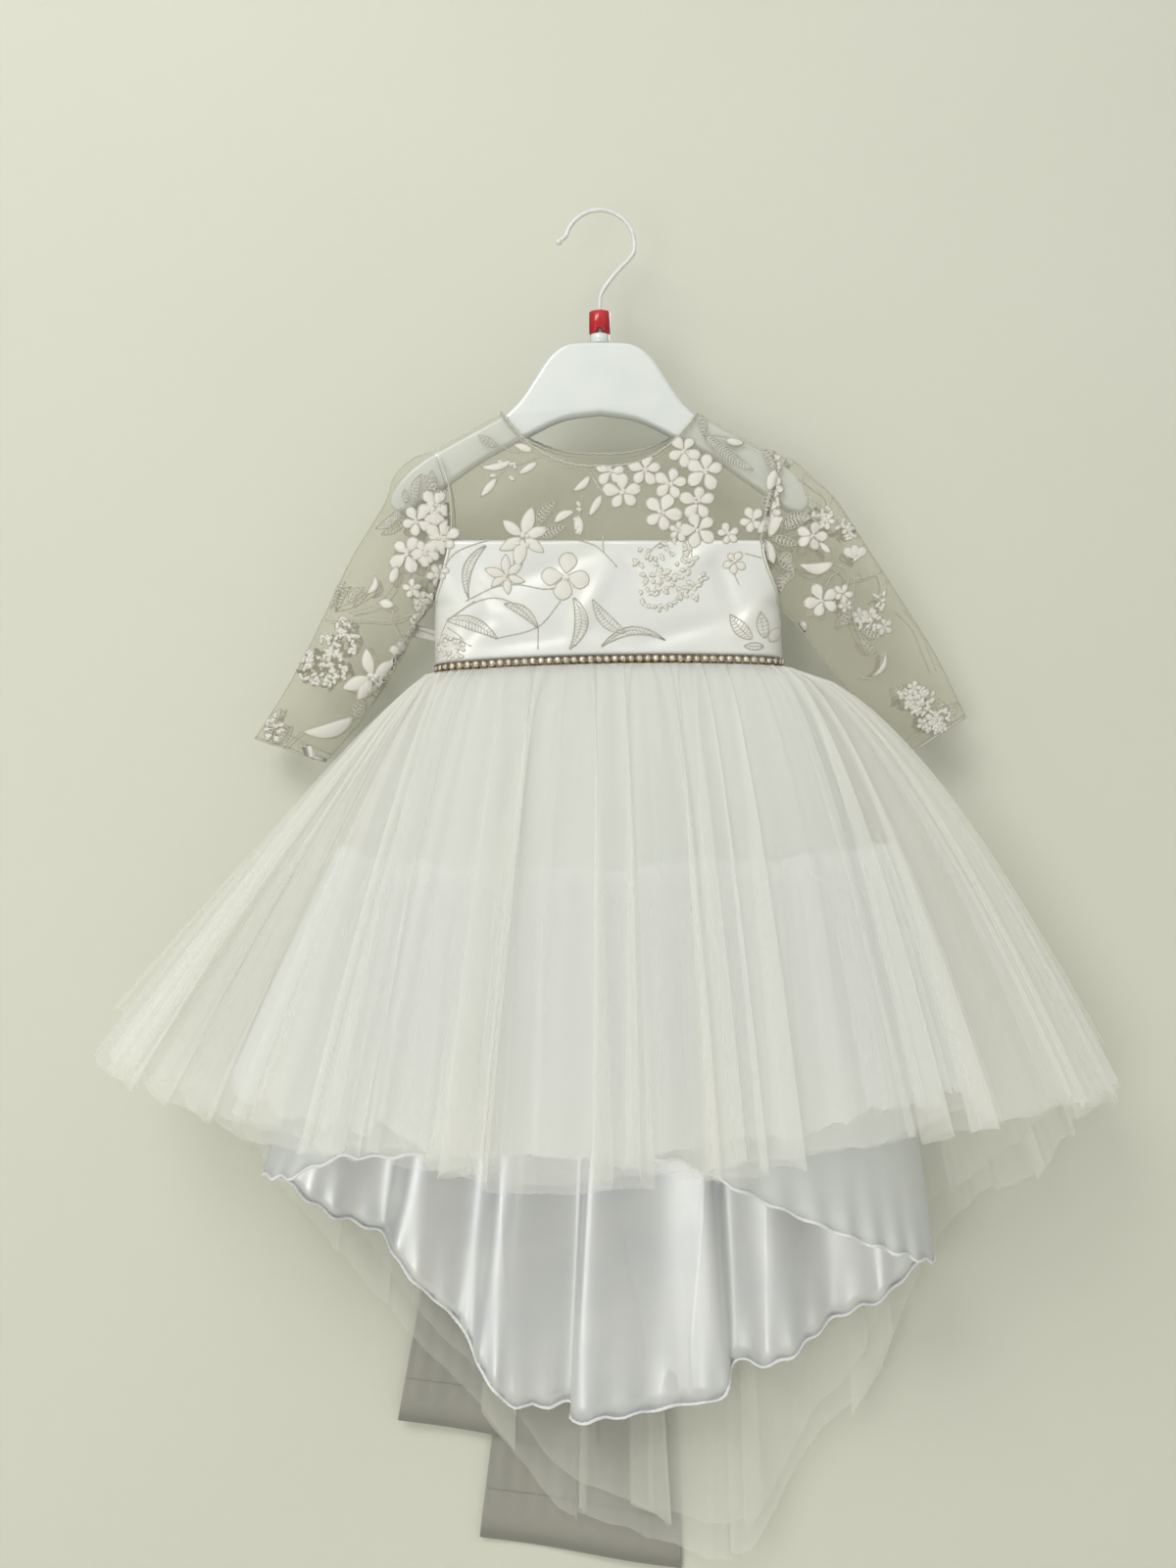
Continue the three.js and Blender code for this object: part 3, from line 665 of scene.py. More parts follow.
def sleeve_grid(sleeve, across=97, down=120):
    u, v = across_and_down(across, down)
    grid = sleeve_point(sleeve, u[:, :-1], v[:, :-1])
    ripple = np.zeros(grid.shape[:2])
    for place, lean, sink in ELBOW_BUCKLES:
        ridge = place + 0.08 * lean * np.cos(2 * math.pi * u[:, :-1])
        ripple += sink * np.exp(-(((v[:, :-1] - ridge) / 0.035) ** 2))
    flat = np.abs(np.sin(2 * math.pi * u[:, :-1]))
    grid[..., 1] += ripple * flat * np.where(u[:, :-1] < 0.5, -1, 1)
    return grid


sleeve_pieces = {}
for name, sleeve in (("left", LEFT_SLEEVE), ("right", RIGHT_SLEEVE)):
    grid = sleeve_grid(sleeve)
    piece = sheet_piece(f"sleeve_{name}_netting", grid, NETTING_PAINTED_SHADE, (150, 225), closed=True)
    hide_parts(f"sleeve_{name}")
    sleeve_pieces[name] = piece
    print("sleeve", name, round(area_of(piece), 4), "m2")

# %% [markdown]
# ## The lace
# The lace is embroidered net: padded flowers and leaves in white satin stitch, each with a silver-grey cord
# round its edge, joined by corded stems, with clusters of seed knots. It lies on top of the yoke, the bodice
# and the sleeves. A picture of lace would stay flat at a low angle, so every petal is a small domed blade
# of its own, dropped straight onto the cloth below it. Places are in millimetres across and up.
#
# A flower is its middle, its radius and its number of petals: 5 round ones, 6 pointed ones, 4 broad open
# ones or 3 upright ones. A leaf is its base, its tip, its width, its bend and whether it is full or open.

# %% Where the motifs go
BODY_LACE = {
    "flowers": [
        (15, -191, 13.4, 5), (7, -177, 10.8, 5), (30, -176, 11.6, 5), (47, -185, 12.1, 5), (56, -163, 11.6, 5),
        (70, -177, 13.4, 5), (65, -198, 12.7, 5), (41, -205, 13.4, 5), (65, -216, 13.1, 5), (52, -217, 7.5, 5),
        (89, -238, 7.8, 5), (101, -210, 9.0, 5), (85, -219, 7.8, 5), (-51, -221, 20.1, 6), (-62, -247, 14.6, 6),
        (-23, -247, 16.4, 4), (-111, -204, 10.3, 5), (-104, -221, 10.8, 5), (-116, -232, 7.5, 5),
        (-106, -244, 6.5, 5),
    ],
    "leaves": [
        (-69, -182, -79, -194, 4.9, 0, "full"), (-42, -171, -54, -179, 4.5, 0, "full"),
        (-59, -170, -79, -174, 4.9, 0.1, "full"), (-45, -163, -57, -159, 4.9, 0, "full"),
        (-69, -160, -81, -153, 5.6, 0, "open"), (-7, -180, -18, -190, 4.9, 0.1, "full"),
        (1, -193, -7, -207, 4.9, 0, "full"), (-30, -211, -17, -204, 5.6, 0.1, "full"),
        (-15, -207, -13, -220, 6.0, 0, "full"), (-41, -213, -29, -197, 7.5, 0.1, "open"),
        (-41, -221, -23, -214, 7.1, 0, "open"), (68, -150, 102, -176, 8.6, -0.05, "open"),
        (84, -156, 96, -158, 4.9, 0, "full"), (105, -218, 123, -208, 8.2, 0.1, "full"),
        (107, -221, 117, -235, 7.5, 0, "full"), (124, -215, 140, -208, 7.1, 0.1, "open"),
        (-76, -227, -87, -262, 6.3, -0.18, "open"), (-63, -266, -41, -282, 6.3, 0.12, "open"),
        (-101, -276, -68, -289, 8.6, 0.1, "open"), (-17, -262, -20, -296, 8.6, 0.18, "open"),
        (16, -285, -5, -263, 8.2, 0.1, "open"), (1, -294, 43, -290, 5.6, 0.2, "open"),
        (100, -289, 86, -273, 9.0, 0.05, "open"), (109, -288, 106, -271, 8.2, 0, "open"),
        (112, -290, 121, -281, 7.5, 0, "full"), (108, -294, 95, -294, 4.9, 0, "open"),
        (110, -162, 117, -176, 7.5, 0, "open"), (117, -176, 112, -190, 7.5, 0, "full"),
        (114, -190, 110, -204, 7.5, 0, "open"), (122, -231, 127, -238, 6.7, 0, "open"),
        (121, -246, 119, -259, 6.3, 0, "open"), (68, -139, 69, -153, 4.9, 0, "open"),
    ],
    "vines": [
        [(-37, -166), (-50, -171), (-63, -176), (-72, -188)], [(-45, -162), (-57, -164), (-69, -158)],
        [(1, -190), (-6, -181), (-14, -188)], [(-11, -193), (-13, -203), (-14, -214)],
        [(-7, -177), (1, -190), (10, -190)], [(-14, -223), (-3, -227), (5, -234), (11, -241)],
        [(2, -220), (2, -227), (3, -232)], [(-100, -276), (-83, -265), (-70, -262), (-57, -266), (-41, -281)],
        [(-57, -235), (-58, -246)], [(-89, -264), (-70, -255), (-55, -253), (-37, -256), (-27, -255)],
        [(-41, -281), (-41, -296)], [(-101, -276), (-106, -288), (-108, -302)], [(-83, -264), (-101, -276)],
        [(-69, -289), (-41, -281), (-26, -264)], [(53, -221), (40, -225), (32, -232)], [(57, -223), (54, -238)],
        [(60, -223), (61, -238)], [(89, -246), (92, -253)], [(96, -232), (107, -235)],
        [(-85, -294), (-98, -288), (-108, -292)], [(-97, -302), (-91, -290), (-101, -281)],
        [(-74, -223), (-95, -231), (-103, -240)], [(70, -152), (86, -154), (98, -158), (108, -163)],
        [(108, -163), (117, -175), (112, -190), (110, -204)],
        [(124, -234), (129, -246), (120, -253), (120, -264)],
    ],
    "seeds": [
        (43, -238, 22, 14, 46), (40, -259, 14, 13, 30), (58, -253, 11, 11, 22), (-98, -292, 10, 11, 20),
        (-14, -208, 2, 11, 6), (-63, -176, 11, 6, 6),
    ],
}
LEFT_SLEEVE_LACE = {
    "flowers": [
        (-110, -200, 12.8, 5), (-122, -210, 11.5, 5), (-106, -221, 12.8, 5), (-128, -232, 13.4, 5),
        (-116, -231, 9.5, 5), (-108, -246, 8.5, 5), (-132, -297, 9.0, 5), (-125, -255, 6.6, 5),
        (-119, -262, 6.2, 5), (-120, -271, 6.9, 5), (-115, -277, 6.9, 5), (-121, -285, 7.5, 5),
        (-153, -313, 21.0, 5.5),
    ],
    "leaves": [
        (-132, -202, -149, -215, 6.6, 0.1, "open"), (-139, -251, -135, -240, 5.6, 0, "full"),
        (-155, -258, -150, -246, 4.3, -0.2, "full"), (-180, -266, -170, -250, 5.6, 0.15, "open"),
        (-168, -264, -157, -254, 5.6, 0.15, "open"), (-147, -264, -137, -266, 5.9, 0, "full"),
        (-123, -197, -119, -179, 5.9, 0.1, "open"), (-112, -194, -112, -176, 5.9, 0, "open"),
        (-117, -180, -107, -191, 4.9, 0, "open"), (-129, -198, -130, -189, 4.3, 0, "open"),
        (-167, -340, -160, -328, 7.2, 0, "open"), (-151, -333, -145, -320, 7.2, 0, "open"),
        (-168, -340, -202, -349, 9.5, 0.12, "full"), (-227, -355, -216, -334, 6.9, 0.1, "open"),
        (-223, -358, -212, -345, 6.6, 0, "open"), (-178, -280, -165, -277, 5.6, 0.2, "open"),
        (-206, -366, -188, -368, 3.6, 0, "full"),
    ],
    "vines": [
        [(-184, -275), (-167, -275), (-157, -275), (-139, -276), (-124, -271)], [(-139, -276), (-132, -290)],
        [(-168, -270), (-149, -265), (-139, -255), (-135, -246)], [(-181, -267), (-168, -264), (-152, -255)],
        [(-216, -361), (-209, -354), (-201, -348)], [(-139, -276), (-137, -269)],
        [(-115, -234), (-114, -241), (-117, -249)], [(-227, -355), (-222, -347), (-216, -334)],
        [(-106, -166), (-102, -175), (-101, -185)], [(-129, -290), (-130, -297)], [(-177, -254), (-181, -267)],
        [(-123, -247), (-124, -254)],
    ],
    "seeds": [
        (-188, -306, 19, 12, 60), (-175, -290, 14, 8, 36), (-172, -279, 7, 5, 10), (-118, -270, 10, 18, 30),
        (-222, -347, 7, 10, 14),
    ],
}
RIGHT_SLEEVE_LACE = {
    "flowers": [
        (141, -220, 10.2, 5), (148, -263, 12.1, 5), (162, -258, 6.9, 5), (164, -266, 5.2, 5),
        (171, -235, 10.5, 3), (165, -215, 5.2, 5), (151, -210, 5.9, 5), (174, -272, 5.9, 5),
        (181, -272, 5.6, 5), (191, -279, 6.2, 5), (213, -329, 6.9, 5), (228, -341, 6.6, 5), (220, -344, 4.6, 5),
        (213, -320, 5.6, 5), (233, -347, 4.6, 5), (114, -166, 6.6, 5), (116, -187, 6.9, 5), (114, -203, 6.9, 5),
    ],
    "leaves": [
        (113, -220, 122, -207, 6.9, 0.1, "full"), (121, -214, 141, -208, 8.2, 0.15, "open"),
        (115, -221, 132, -226, 5.9, 0, "open"), (111, -226, 116, -238, 6.6, 0, "full"),
        (119, -233, 129, -243, 7.2, 0, "open"), (155, -238, 133, -239, 7.5, 0.15, "full"),
        (162, -279, 166, -270, 5.9, 0, "open"), (176, -280, 188, -286, 7.9, 0, "open"),
        (176, -289, 185, -297, 4.9, 0, "open"), (138, -277, 130, -283, 7.2, 0.1, "full"),
        (126, -245, 121, -253, 4.3, 0, "open"), (200, -320, 207, -324, 5.9, 0, "open"),
        (230, -327, 236, -338, 5.9, 0, "open"), (242, -338, 239, -329, 4.9, 0, "open"),
        (184, -312, 192, -296, 3.3, -0.2, "full"), (125, -170, 129, -169, 6.6, 0, "open"),
        (153, -231, 146, -224, 3.6, 0, "full"),
    ],
    "vines": [
        [(144, -222), (149, -229), (154, -235)], [(154, -238), (162, -241), (170, -248), (189, -243)],
        [(170, -248), (169, -261), (170, -275), (177, -290), (184, -297)],
        [(189, -243), (192, -251), (189, -258), (184, -262)], [(166, -247), (164, -257)],
        [(159, -244), (154, -247), (150, -255)], [(176, -313), (186, -313), (191, -297)],
        [(135, -177), (144, -184), (154, -193), (151, -204)],
        [(151, -204), (143, -197), (136, -190), (135, -179)], [(129, -243), (123, -251), (121, -257)],
        [(162, -205), (164, -215), (164, -221)], [(203, -267), (215, -280), (223, -297), (228, -308)],
        [(180, -246), (177, -240)], [(151, -211), (159, -213), (165, -215)],
    ],
    "seeds": [
        (215, -328, 13, 9, 36), (229, -342, 11, 8, 26), (190, -262, 4, 7, 6), (182, -275, 10, 6, 14),
        (148, -207, 7, 10, 12), (165, -216, 7, 6, 10), (116, -182, 4, 25, 26),
    ],
}


# %% Dropping motifs on the cloth
def cloth_below(pieces, toward):
    """A way to drop flat points onto pieces; toward is -1 to come from the front and 1 from behind."""
    points, faces = [], []
    for piece in pieces:
        start = len(points)
        points.extend(vertex.co.copy() for vertex in piece.data.vertices)
        faces.extend([corner + start for corner in face.vertices] for face in piece.data.polygons)
    tree = BVHTree.FromPolygons(points, faces)

    def drop(flat, lift):
        landed = []
        for (x, z), height in zip(flat, np.broadcast_to(lift, len(flat))):
            place, normal, *_ = tree.ray_cast(Vector((x * MM, 0.3 * toward, z * MM)), Vector((0, -toward, 0)))
            if place is None or place.y * toward < -0.03:
                place, normal, *_ = tree.find_nearest(Vector((x * MM, 0.012 * toward, z * MM)))
            if normal.y * toward < 0:
                normal = -normal
            landed.append(place / MM + (normal + Vector((0, toward, 0))) * 0.5 * height)
        return np.array(landed)

    return drop


def blade(drop, start, end, width, bend=0.0, kind="pointed", dome=0.9, lift=0.6):
    """One petal or leaf: a domed blade with a creased middle, and the cord round its edge."""
    start, end = np.array(start, float), np.array(end, float)
    a, b = np.meshgrid(np.linspace(0, 1, 9), np.linspace(-1, 1, 5), indexing="ij")
    if kind == "round":
        half = width / 2 * np.sin(math.pi * np.clip(0.05 + 0.9 * a, 0, 1) ** 1.35) ** 0.8
        reach = a - 0.1 * (np.abs(b) < 0.1) * (a > 0.9)
    else:
        half = width / 2 * np.sin(math.pi * np.clip(0.03 + 0.96 * a, 0, 1) ** 0.9) ** 0.85
        reach = a
    along = end - start
    across = np.array([-along[1], along[0]]) / max(np.hypot(*along), 1e-6)
    side = b * half + bend * np.hypot(*along) * 4 * a * (1 - a)
    flat = start + reach[..., None] * along + side[..., None] * across
    rise = lift + dome * (1 - b**2) * np.sin(math.pi * a) ** 0.6 - 0.35 * dome * (np.abs(b) < 0.1) * (a > 0.05)
    landed = drop(flat.reshape(-1, 2), rise.ravel())
    edge = np.vstack([flat[:, 0], flat[::-1, -1]])
    return (landed, grid_faces(9, 5).tolist()), cord_shape(drop(edge, lift + 0.1), 0.36, 4, closed=True)


def stem(drop, points, radius=0.42):
    """A corded stem through points, with a slight twist in its thickness."""
    route = smooth_route(points, max(8, int(np.ptp(np.array(points), axis=0).sum() / 1.6)))
    swell = radius * (1 + 0.25 * np.sin(np.arange(len(route)) * 1.9))
    return cord_shape(drop(route, 0.5), swell, 5)


def knot(drop, place, radius):
    """A seed knot: a small dome."""
    turn = np.arange(6) * math.pi / 3
    ring = np.stack([place[0] + radius * np.cos(turn), place[1] + radius * np.sin(turn)], axis=1)
    flat = np.vstack([ring, place + (ring - place) * 0.55, [place]])
    points = drop(flat, np.repeat([0.2, 0.2 + radius * 0.75, 0.25 + radius * 0.95], [6, 6, 1]))
    faces = [[k, (k + 1) % 6, 6 + (k + 1) % 6, 6 + k] for k in range(6)]
    return points, faces + [[6 + k, 6 + (k + 1) % 6, 12] for k in range(6)]


def open_filling(drop, start, end, width, bend):
    """The slanted white stitches inside an open leaf."""
    along = end - start
    across = np.array([-along[1], along[0]]) / max(np.hypot(*along), 1e-6)
    stitches = []
    for a in np.linspace(0.14, 0.88, max(4, int(np.hypot(*along) / 2.6))):
        half = width / 2 * math.sin(math.pi * (0.03 + 0.96 * a) ** 0.9) ** 0.85
        middle = start + a * along + bend * np.hypot(*along) * 4 * a * (1 - a) * across
        for side in (-1, 1):
            tip = middle + side * across * half * 0.85 + along * 0.05
            stitches.append(cord_shape(drop([middle, (middle + tip) / 2, tip], 0.45), 0.4, 4))
    return stitches


def flower(drop, x, z, radius, petals, dice):
    """A flower's white petals, its cords and its middle knots."""
    middle, full = np.array([x, z], float), []
    turn = dice.uniform(0, 2 * math.pi)
    if petals in (3, 5.5):
        angles = np.radians([100, 140, 52] if petals == 3 else [100, 28, -38, 200, 235])
    else:
        angles = turn + np.arange(petals) * 2 * math.pi / petals + dice.normal(0, 0.09, petals)
    pointed = petals in (6, 5.5)
    for angle in angles:
        way = np.array([math.cos(angle), math.sin(angle)])
        long = radius * dice.uniform(0.84, 1.04)
        wide = long * (0.42 if pointed else 0.64) * (1.2 if petals == 4 else 1)
        full.append(blade(drop, middle + way * radius * 0.1, middle + way * long, wide, dice.normal(0, 0.03),
                          "pointed" if pointed else "round", 0.35 + radius * 0.035, 0.5))
    knots = [knot(drop, middle + dice.normal(0, radius * 0.09, 2), radius * 0.09 + 0.35) for _ in range(5)]
    return [petal for petal, _ in full] + knots, [cord for _, cord in full]


def lay_lace(name, drop, motifs, dice, mirror=1):
    """Every motif of one list as two pieces: the white stitch and the grey cord."""
    white, cords = [], []
    for x, z, radius, petals in motifs["flowers"]:
        petals_made, cords_made = flower(drop, x * mirror, z, radius, petals, dice)
        white += petals_made
        cords += cords_made
    for x0, z0, x1, z1, width, bend, kind in motifs["leaves"]:
        start, end = (x0 * mirror, z0), (x1 * mirror, z1)
        leaf, cord = blade(drop, start, end, width, bend * mirror, dome=0.9 if kind == "full" else 0.3)
        if kind == "full":
            white.append(leaf)
        cords.append(cord)
        rib = np.linspace(start, end, 6)[:-1]
        sideways = np.array([[-(z1 - z0), (x1 - x0) * mirror]]) * bend * mirror
        rib = rib + sideways * np.sin(np.linspace(0, 2.6, 5))[:, None]
        cords.append(stem(drop, rib, 0.28))
        if kind == "open":
            white += open_filling(drop, np.array(start, float), np.array(end, float), width, bend * mirror)
    for points in motifs["vines"]:
        cords.append(stem(drop, [(x * mirror, z) for x, z in points]))
    for x, z, reach_x, reach_z, count in motifs["seeds"]:
        for _ in range(count):
            angle, far = dice.uniform(0, 2 * math.pi), math.sqrt(dice.uniform(0, 1))
            place = np.array([x * mirror + reach_x * far * math.cos(angle), z + reach_z * far * math.sin(angle)])
            white.append(knot(drop, place, dice.uniform(0.9, 1.7)))
            way = dice.uniform(0, 2 * math.pi)
            tip = place + np.array([math.cos(way), math.sin(way)]) * dice.uniform(2.6, 4.2)
            dab, cord = blade(drop, place, tip, 2.4, 0, "pointed", 0.9, 0.5)
            white.append(dab)
            cords.append(cord)
    white_piece = joined_piece(f"lace_{name}_satin_stitch", white, WHITE_STITCH)
    cord_piece = joined_piece(f"lace_{name}_cord", cords, GREY_CORD)
    print("lace", name, len(white), "white shapes,", len(cords), "cords")
    return white_piece, cord_piece


# %% Lace on the body and sleeves, front and back
lace_dice = np.random.default_rng(12)
# The yoke is plain behind, so from the back the lace starts at the bodice, this far below the hook.
YOKE_BOTTOM_BEHIND = -222
BACK_LACE = {
    kind: [motif for motif in rows if (motif[0][1] if kind == "vines" else motif[1]) < YOKE_BOTTOM_BEHIND]
    for kind, rows in BODY_LACE.items()
}
for side, toward, mirror, motifs in (("front", -1, 1, BODY_LACE), ("back", 1, -1, BACK_LACE)):
    drop = cloth_below([*body_pieces[side], *sleeve_pieces.values()], toward)
    lay_lace(f"body_{side}", drop, motifs, lace_dice, mirror)
    for name, motifs in (("left", LEFT_SLEEVE_LACE), ("right", RIGHT_SLEEVE_LACE)):
        lay_lace(f"sleeve_{name}_{side}", cloth_below([sleeve_pieces[name]], toward), motifs, lace_dice)

# %% [markdown]
# ## Edges and seams
# The neckline is bound with a scalloped cord, the sleeves are set in with a narrow corded seam, and the
# cuffs have a turned edge. These lines carry the drawing of the gown, so each is a real cord.

# %% Neckline, shoulder, armhole and cuff cords
edge_shapes = []
for side, toward in (("front", -1), ("back", 1)):
    drop = cloth_below(body_pieces[side], toward)
    x = np.linspace(-NECK_HALF_WIDTH, NECK_HALF_WIDTH, 150)
    line = np.stack([x, neck_line(side, x) - 0.8 + 0.5 * np.abs(np.sin(x / 2.4))], axis=1)
    edge_shapes.append(cord_shape(drop(line, 0.3), 0.75 + 0.2 * np.sin(np.arange(150) * 1.7), 6))
    edge_shapes.append(cord_shape(drop(line - [0, 2.6], 0.2), 0.35, 4))
    for name, edge in (("left", LEFT_EDGE), ("right", RIGHT_EDGE)):
        z = np.linspace(edge[0][0] - 4, UNDERARM, 60)
        x = through(edge, z) + (1.6 if name == "left" else -1.6)
        edge_shapes.append(cord_shape(drop(np.stack([x, z], axis=1), 0.3), 0.55, 5))
for name, sleeve in (("left", LEFT_SLEEVE), ("right", RIGHT_SLEEVE)):
    for v, radius in ((0.997, 0.7), (0.965, 0.35)):
        u = np.linspace(0, 1, 121)[:-1]
        edge_shapes.append(cord_shape(sleeve_point(sleeve, u, np.full(120, v)), radius, 5, closed=True))
    v = np.linspace(0.1, 0.997, 80)
    edge_shapes.append(cord_shape(sleeve_point(sleeve, np.full(80, 0.5), v), 0.4, 5))
    edge_shapes.append(cord_shape(sleeve_point(sleeve, np.full(80, 0.0), v), 0.3, 5))
joined_piece("yoke_and_sleeve_edge_cords", edge_shapes, GREY_CORD)
print("edge cords:", len(edge_shapes))


# %% [markdown]
# ## The tulle overskirt
# Soft tulle is gathered by hundreds of tiny tucks at the waist. Lower down the tucks open and join into broad
# soft pleats, and the net lies two or three times over itself along each pleat's edge. That is what makes
# the pale and the darker rays, so the pleats are drawn as real overlaps: the cloth swings sideways and in and
# out along each pleat. Two layers lie over each other in front and behind, each with its own pleats,
# and every layer is raw-cut, so its hem wavers.

# %% Where the folds of one layer run
# The cloth in front falls nearly straight, and the cloth at the sides fans out of the ends of the waist.
FAN = [[0, 0], [0.08, 0.142], [0.16, 0.31], [0.25, 0.45], [0.35, 0.485], [0.5, 0.5]]


def fanned_point(layer, side, hem, u, v, out, longer):
    """A place on a gathered skirt layer, whose folds fan out of the waist."""
    off = u - 0.5
    u_waist = 0.5 + np.sign(off) * through(FAN, np.abs(off))
    x, y, z = waist_point(side, u_waist, layer["inset"])
    share = side_share(u)
    hem_x = mix(layer["left"], layer["right"], share)
    bow = SIGN[side] * layer[side] * np.abs(np.sin(math.pi * u)) ** 0.9
    turn = math.pi * mix(u_waist, u, v)
    down = z - SKIRT_DROP
    return np.stack([
        mix(x, hem_x, v ** mix(0.86, 0.6, share)) - out * np.cos(turn),
        mix(y, layer["seam"] + bow + SIGN[side] * 0.6, v**0.8) + SIGN[side] * out * np.sin(turn),
        mix(down, through(hem, hem_x) - longer, v),
    ], axis=-1)


def pleat_table(edges, dice, overlap):
    """Each pleat's start, width, sideways swing, phase and depth in millimetres."""
    edges = np.asarray(edges, float)
    count = len(edges) - 1
    swing = dice.uniform(overlap[0], overlap[1], count)
    phase = dice.choice([-1, 1], count) * dice.uniform(1.0, 2.0, count)
    return edges[:-1], np.diff(edges), swing, phase, dice.uniform(8, 19, count), dice.uniform(-5, 5, count)


def uneven_edges(count, dice, rough=0.65):
    """Pleat edges from 0 to 1 with uneven widths."""
    widths = dice.uniform(1 - rough, 1 + rough, count)
    return np.concatenate([[0], np.cumsum(widths) / widths.sum()])


def gathered_grid(
    layer, side, hem, pleats, out, longer, dice, across=1000, down=30, top=0.0, bottom=1.0, depth=1.0
):
    """A gathered layer: broad overlapping pleats below, fine tucks at the waist, and a wavering raw hem."""
    start, width, swing, phase, deep, uneven = pleats
    s, v = across_and_down(across, down, top, bottom)
    i = np.clip(np.searchsorted(start, s, side="right") - 1, 0, len(start) - 1)
    t = (s - start[i]) / width[i]
    slide = swing[i] * width[i] * (np.sin(2 * math.pi * t + phase[i]) - np.sin(phase[i])) / (2 * math.pi)
    u = np.clip(s - slide * v**0.35, 0, 1)
    ends = smooth_step(np.minimum(s, 1 - s), 0, 0.03)
    r = -deep[i] * depth * (1 - np.cos(2 * math.pi * t)) / 2 * v**0.75
    for tucks, size, fade in ((96, 1.4, 2.4), (61, 1.8, 1.6), (37, 1.6, 1.0)):
        wander = dice.uniform(0, 1, 12)
        drift = sum(np.sin(2 * math.pi * (k + 1) * s + 6 * wander[k]) * wander[k + 6] for k in range(6))
        r = r + size * np.sin(2 * math.pi * tucks * s + 2.2 * drift) * (1 - v) ** fade * (0.25 + v) ** 0.5
    waver = sum(
        height * np.sin(2 * math.pi * waves * s + dice.uniform(0, 6))
        for waves, height in ((7, 3.0), (19, 1.8), (47, 0.9), (133, 0.4))
    )
    snips = np.repeat(dice.normal(0, 0.35, across // 5 + 1), 5)[:across]
    cut = (waver + uneven[i] * np.sin(math.pi * t) ** 0.5 + snips[None, :] * v**14) * ends
    return fanned_point(layer, side, hem, u, v, out + r * (0.35 + 0.65 * ends), longer + cut)


def report_sheet(piece, flat):
    """Print a sheet's flat size and its shown area."""
    print(piece.name, "flat", flat, "shown", round(area_of(piece), 3), "m2")


# %% Front layers of the overskirt
# The outer layer's pleat edges, as places along the hem in millimetres from the middle.
OUTER_EDGES = [-326, -305, -286, -262, -236, -205, -176, -143, -121, -94, -68, -38, -4, 22, 42, 66, 96, 118,
               152, 182, 207, 236, 268, 296, 318, 338]
tulle_dice = np.random.default_rng(31)
outer_edges = np.arccos(1 - 2 * (np.array(OUTER_EDGES, float) + 326) / 664) / math.pi
FRONT_LAYERS = [
    ("outer", outer_edges, 4.5, 0.0, (1.6, 3.0)),
    ("inner", uneven_edges(17, tulle_dice), -0.5, -5.0, (1.2, 2.8)),
]
for label, edges, out, longer, overlap in FRONT_LAYERS:
    table = pleat_table(edges, tulle_dice, overlap)
    grid = gathered_grid(OVERSKIRT, "front", OVERSKIRT_HEM["front"], table, out, longer, tulle_dice)
    # The crinkles are drawn at the scale of a fuller cut than the flat size printed for it, which draws them
    # finer.
    piece = sheet_piece(f"overskirt_front_{label}", grid, TULLE, (1900, 310))
    report_sheet(piece, (1.3, 0.31))
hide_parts("overskirt_front")

# %% Back layers of the overskirt, with the train
for label, count, out, longer in (("outer", 21, 2.0, 0.0), ("inner", 17, -5.0, -26.0)):
    table = pleat_table(uneven_edges(count, tulle_dice), tulle_dice, (1.0, 2.6))
    hem = OVERSKIRT_HEM["back"]
    grid = gathered_grid(OVERSKIRT, "back", hem, table, out, longer, tulle_dice, 960, 34, depth=0.4)
    piece = sheet_piece(f"overskirt_back_{label}", grid, TRAIN_TULLE, (1900, 610))
    report_sheet(piece, (1.1, 0.6))
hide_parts("overskirt_back")

# %% [markdown]
# ## The petticoat
# A ruffle of stiff white tulle is sewn to the underskirt below the hip and pushes the overskirt out. It is
# denser and whiter than the outer tulle, so the lower half of the skirt looks brighter in front.

# %% Petticoat ruffles
# The ruffle is sewn on at this share of the way from the waist to the front hem, all round.
RUFFLE_TOP = 0.42
for side, count in (("front", 26), ("back", 20)):
    table = pleat_table(uneven_edges(count, tulle_dice), tulle_dice, (0.7, 1.7))
    hem = OVERSKIRT_HEM["front"]
    grid = gathered_grid(PETTICOAT, side, hem, table, 0.0, 0.0, tulle_dice, 900, 20, RUFFLE_TOP, 0.97, 0.8)
    piece = sheet_piece(f"petticoat_{side}_tulle", grid, PETTICOAT_TULLE, (1500, 170))
    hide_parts(f"petticoat_{side}")
    report_sheet(piece, (0.8, 0.17))

# %% [markdown]
# ## The satin underskirt and its train
# The satin is heavier than the tulle. In front it is a plain cone under the ruffle. Behind, it runs into a
# train that falls in a few deep soft folds, so its inside shows below the front hem. Each fold is listed:
# where its crest meets the hem, how wide and deep it is, and how far it laps over its neighbour.

# %% Folds of the satin
# Crest at the hem, half width, depth toward the front, how far it laps sideways, and how much lower its hem
# hangs, all in millimetres.
TRAIN_FOLDS = [
    (-186, 22, 10, 0, 3), (-150, 20, -3, 0, -2), (-117, 24, 18, -12, 4), (-88, 14, -3, 0, -3),
    (-64, 20, 18, -10, 3), (-40, 15, 13, -18, 4), (-10, 10, -3, 0, -5), (12, 20, 24, -28, 0),
    (42, 24, 12, 0, 9), (68, 16, 17, 14, 8), (90, 12, -3, 0, -5), (120, 26, 17, 0, 4),
    (158, 24, -3, 0, -2), (190, 18, 11, 0, 2),
]
FRONT_FOLDS = [(-196, 16, 7, 0, 2), (-162, 18, -5, 0, -2), (150, 40, 4, 0, 1)]


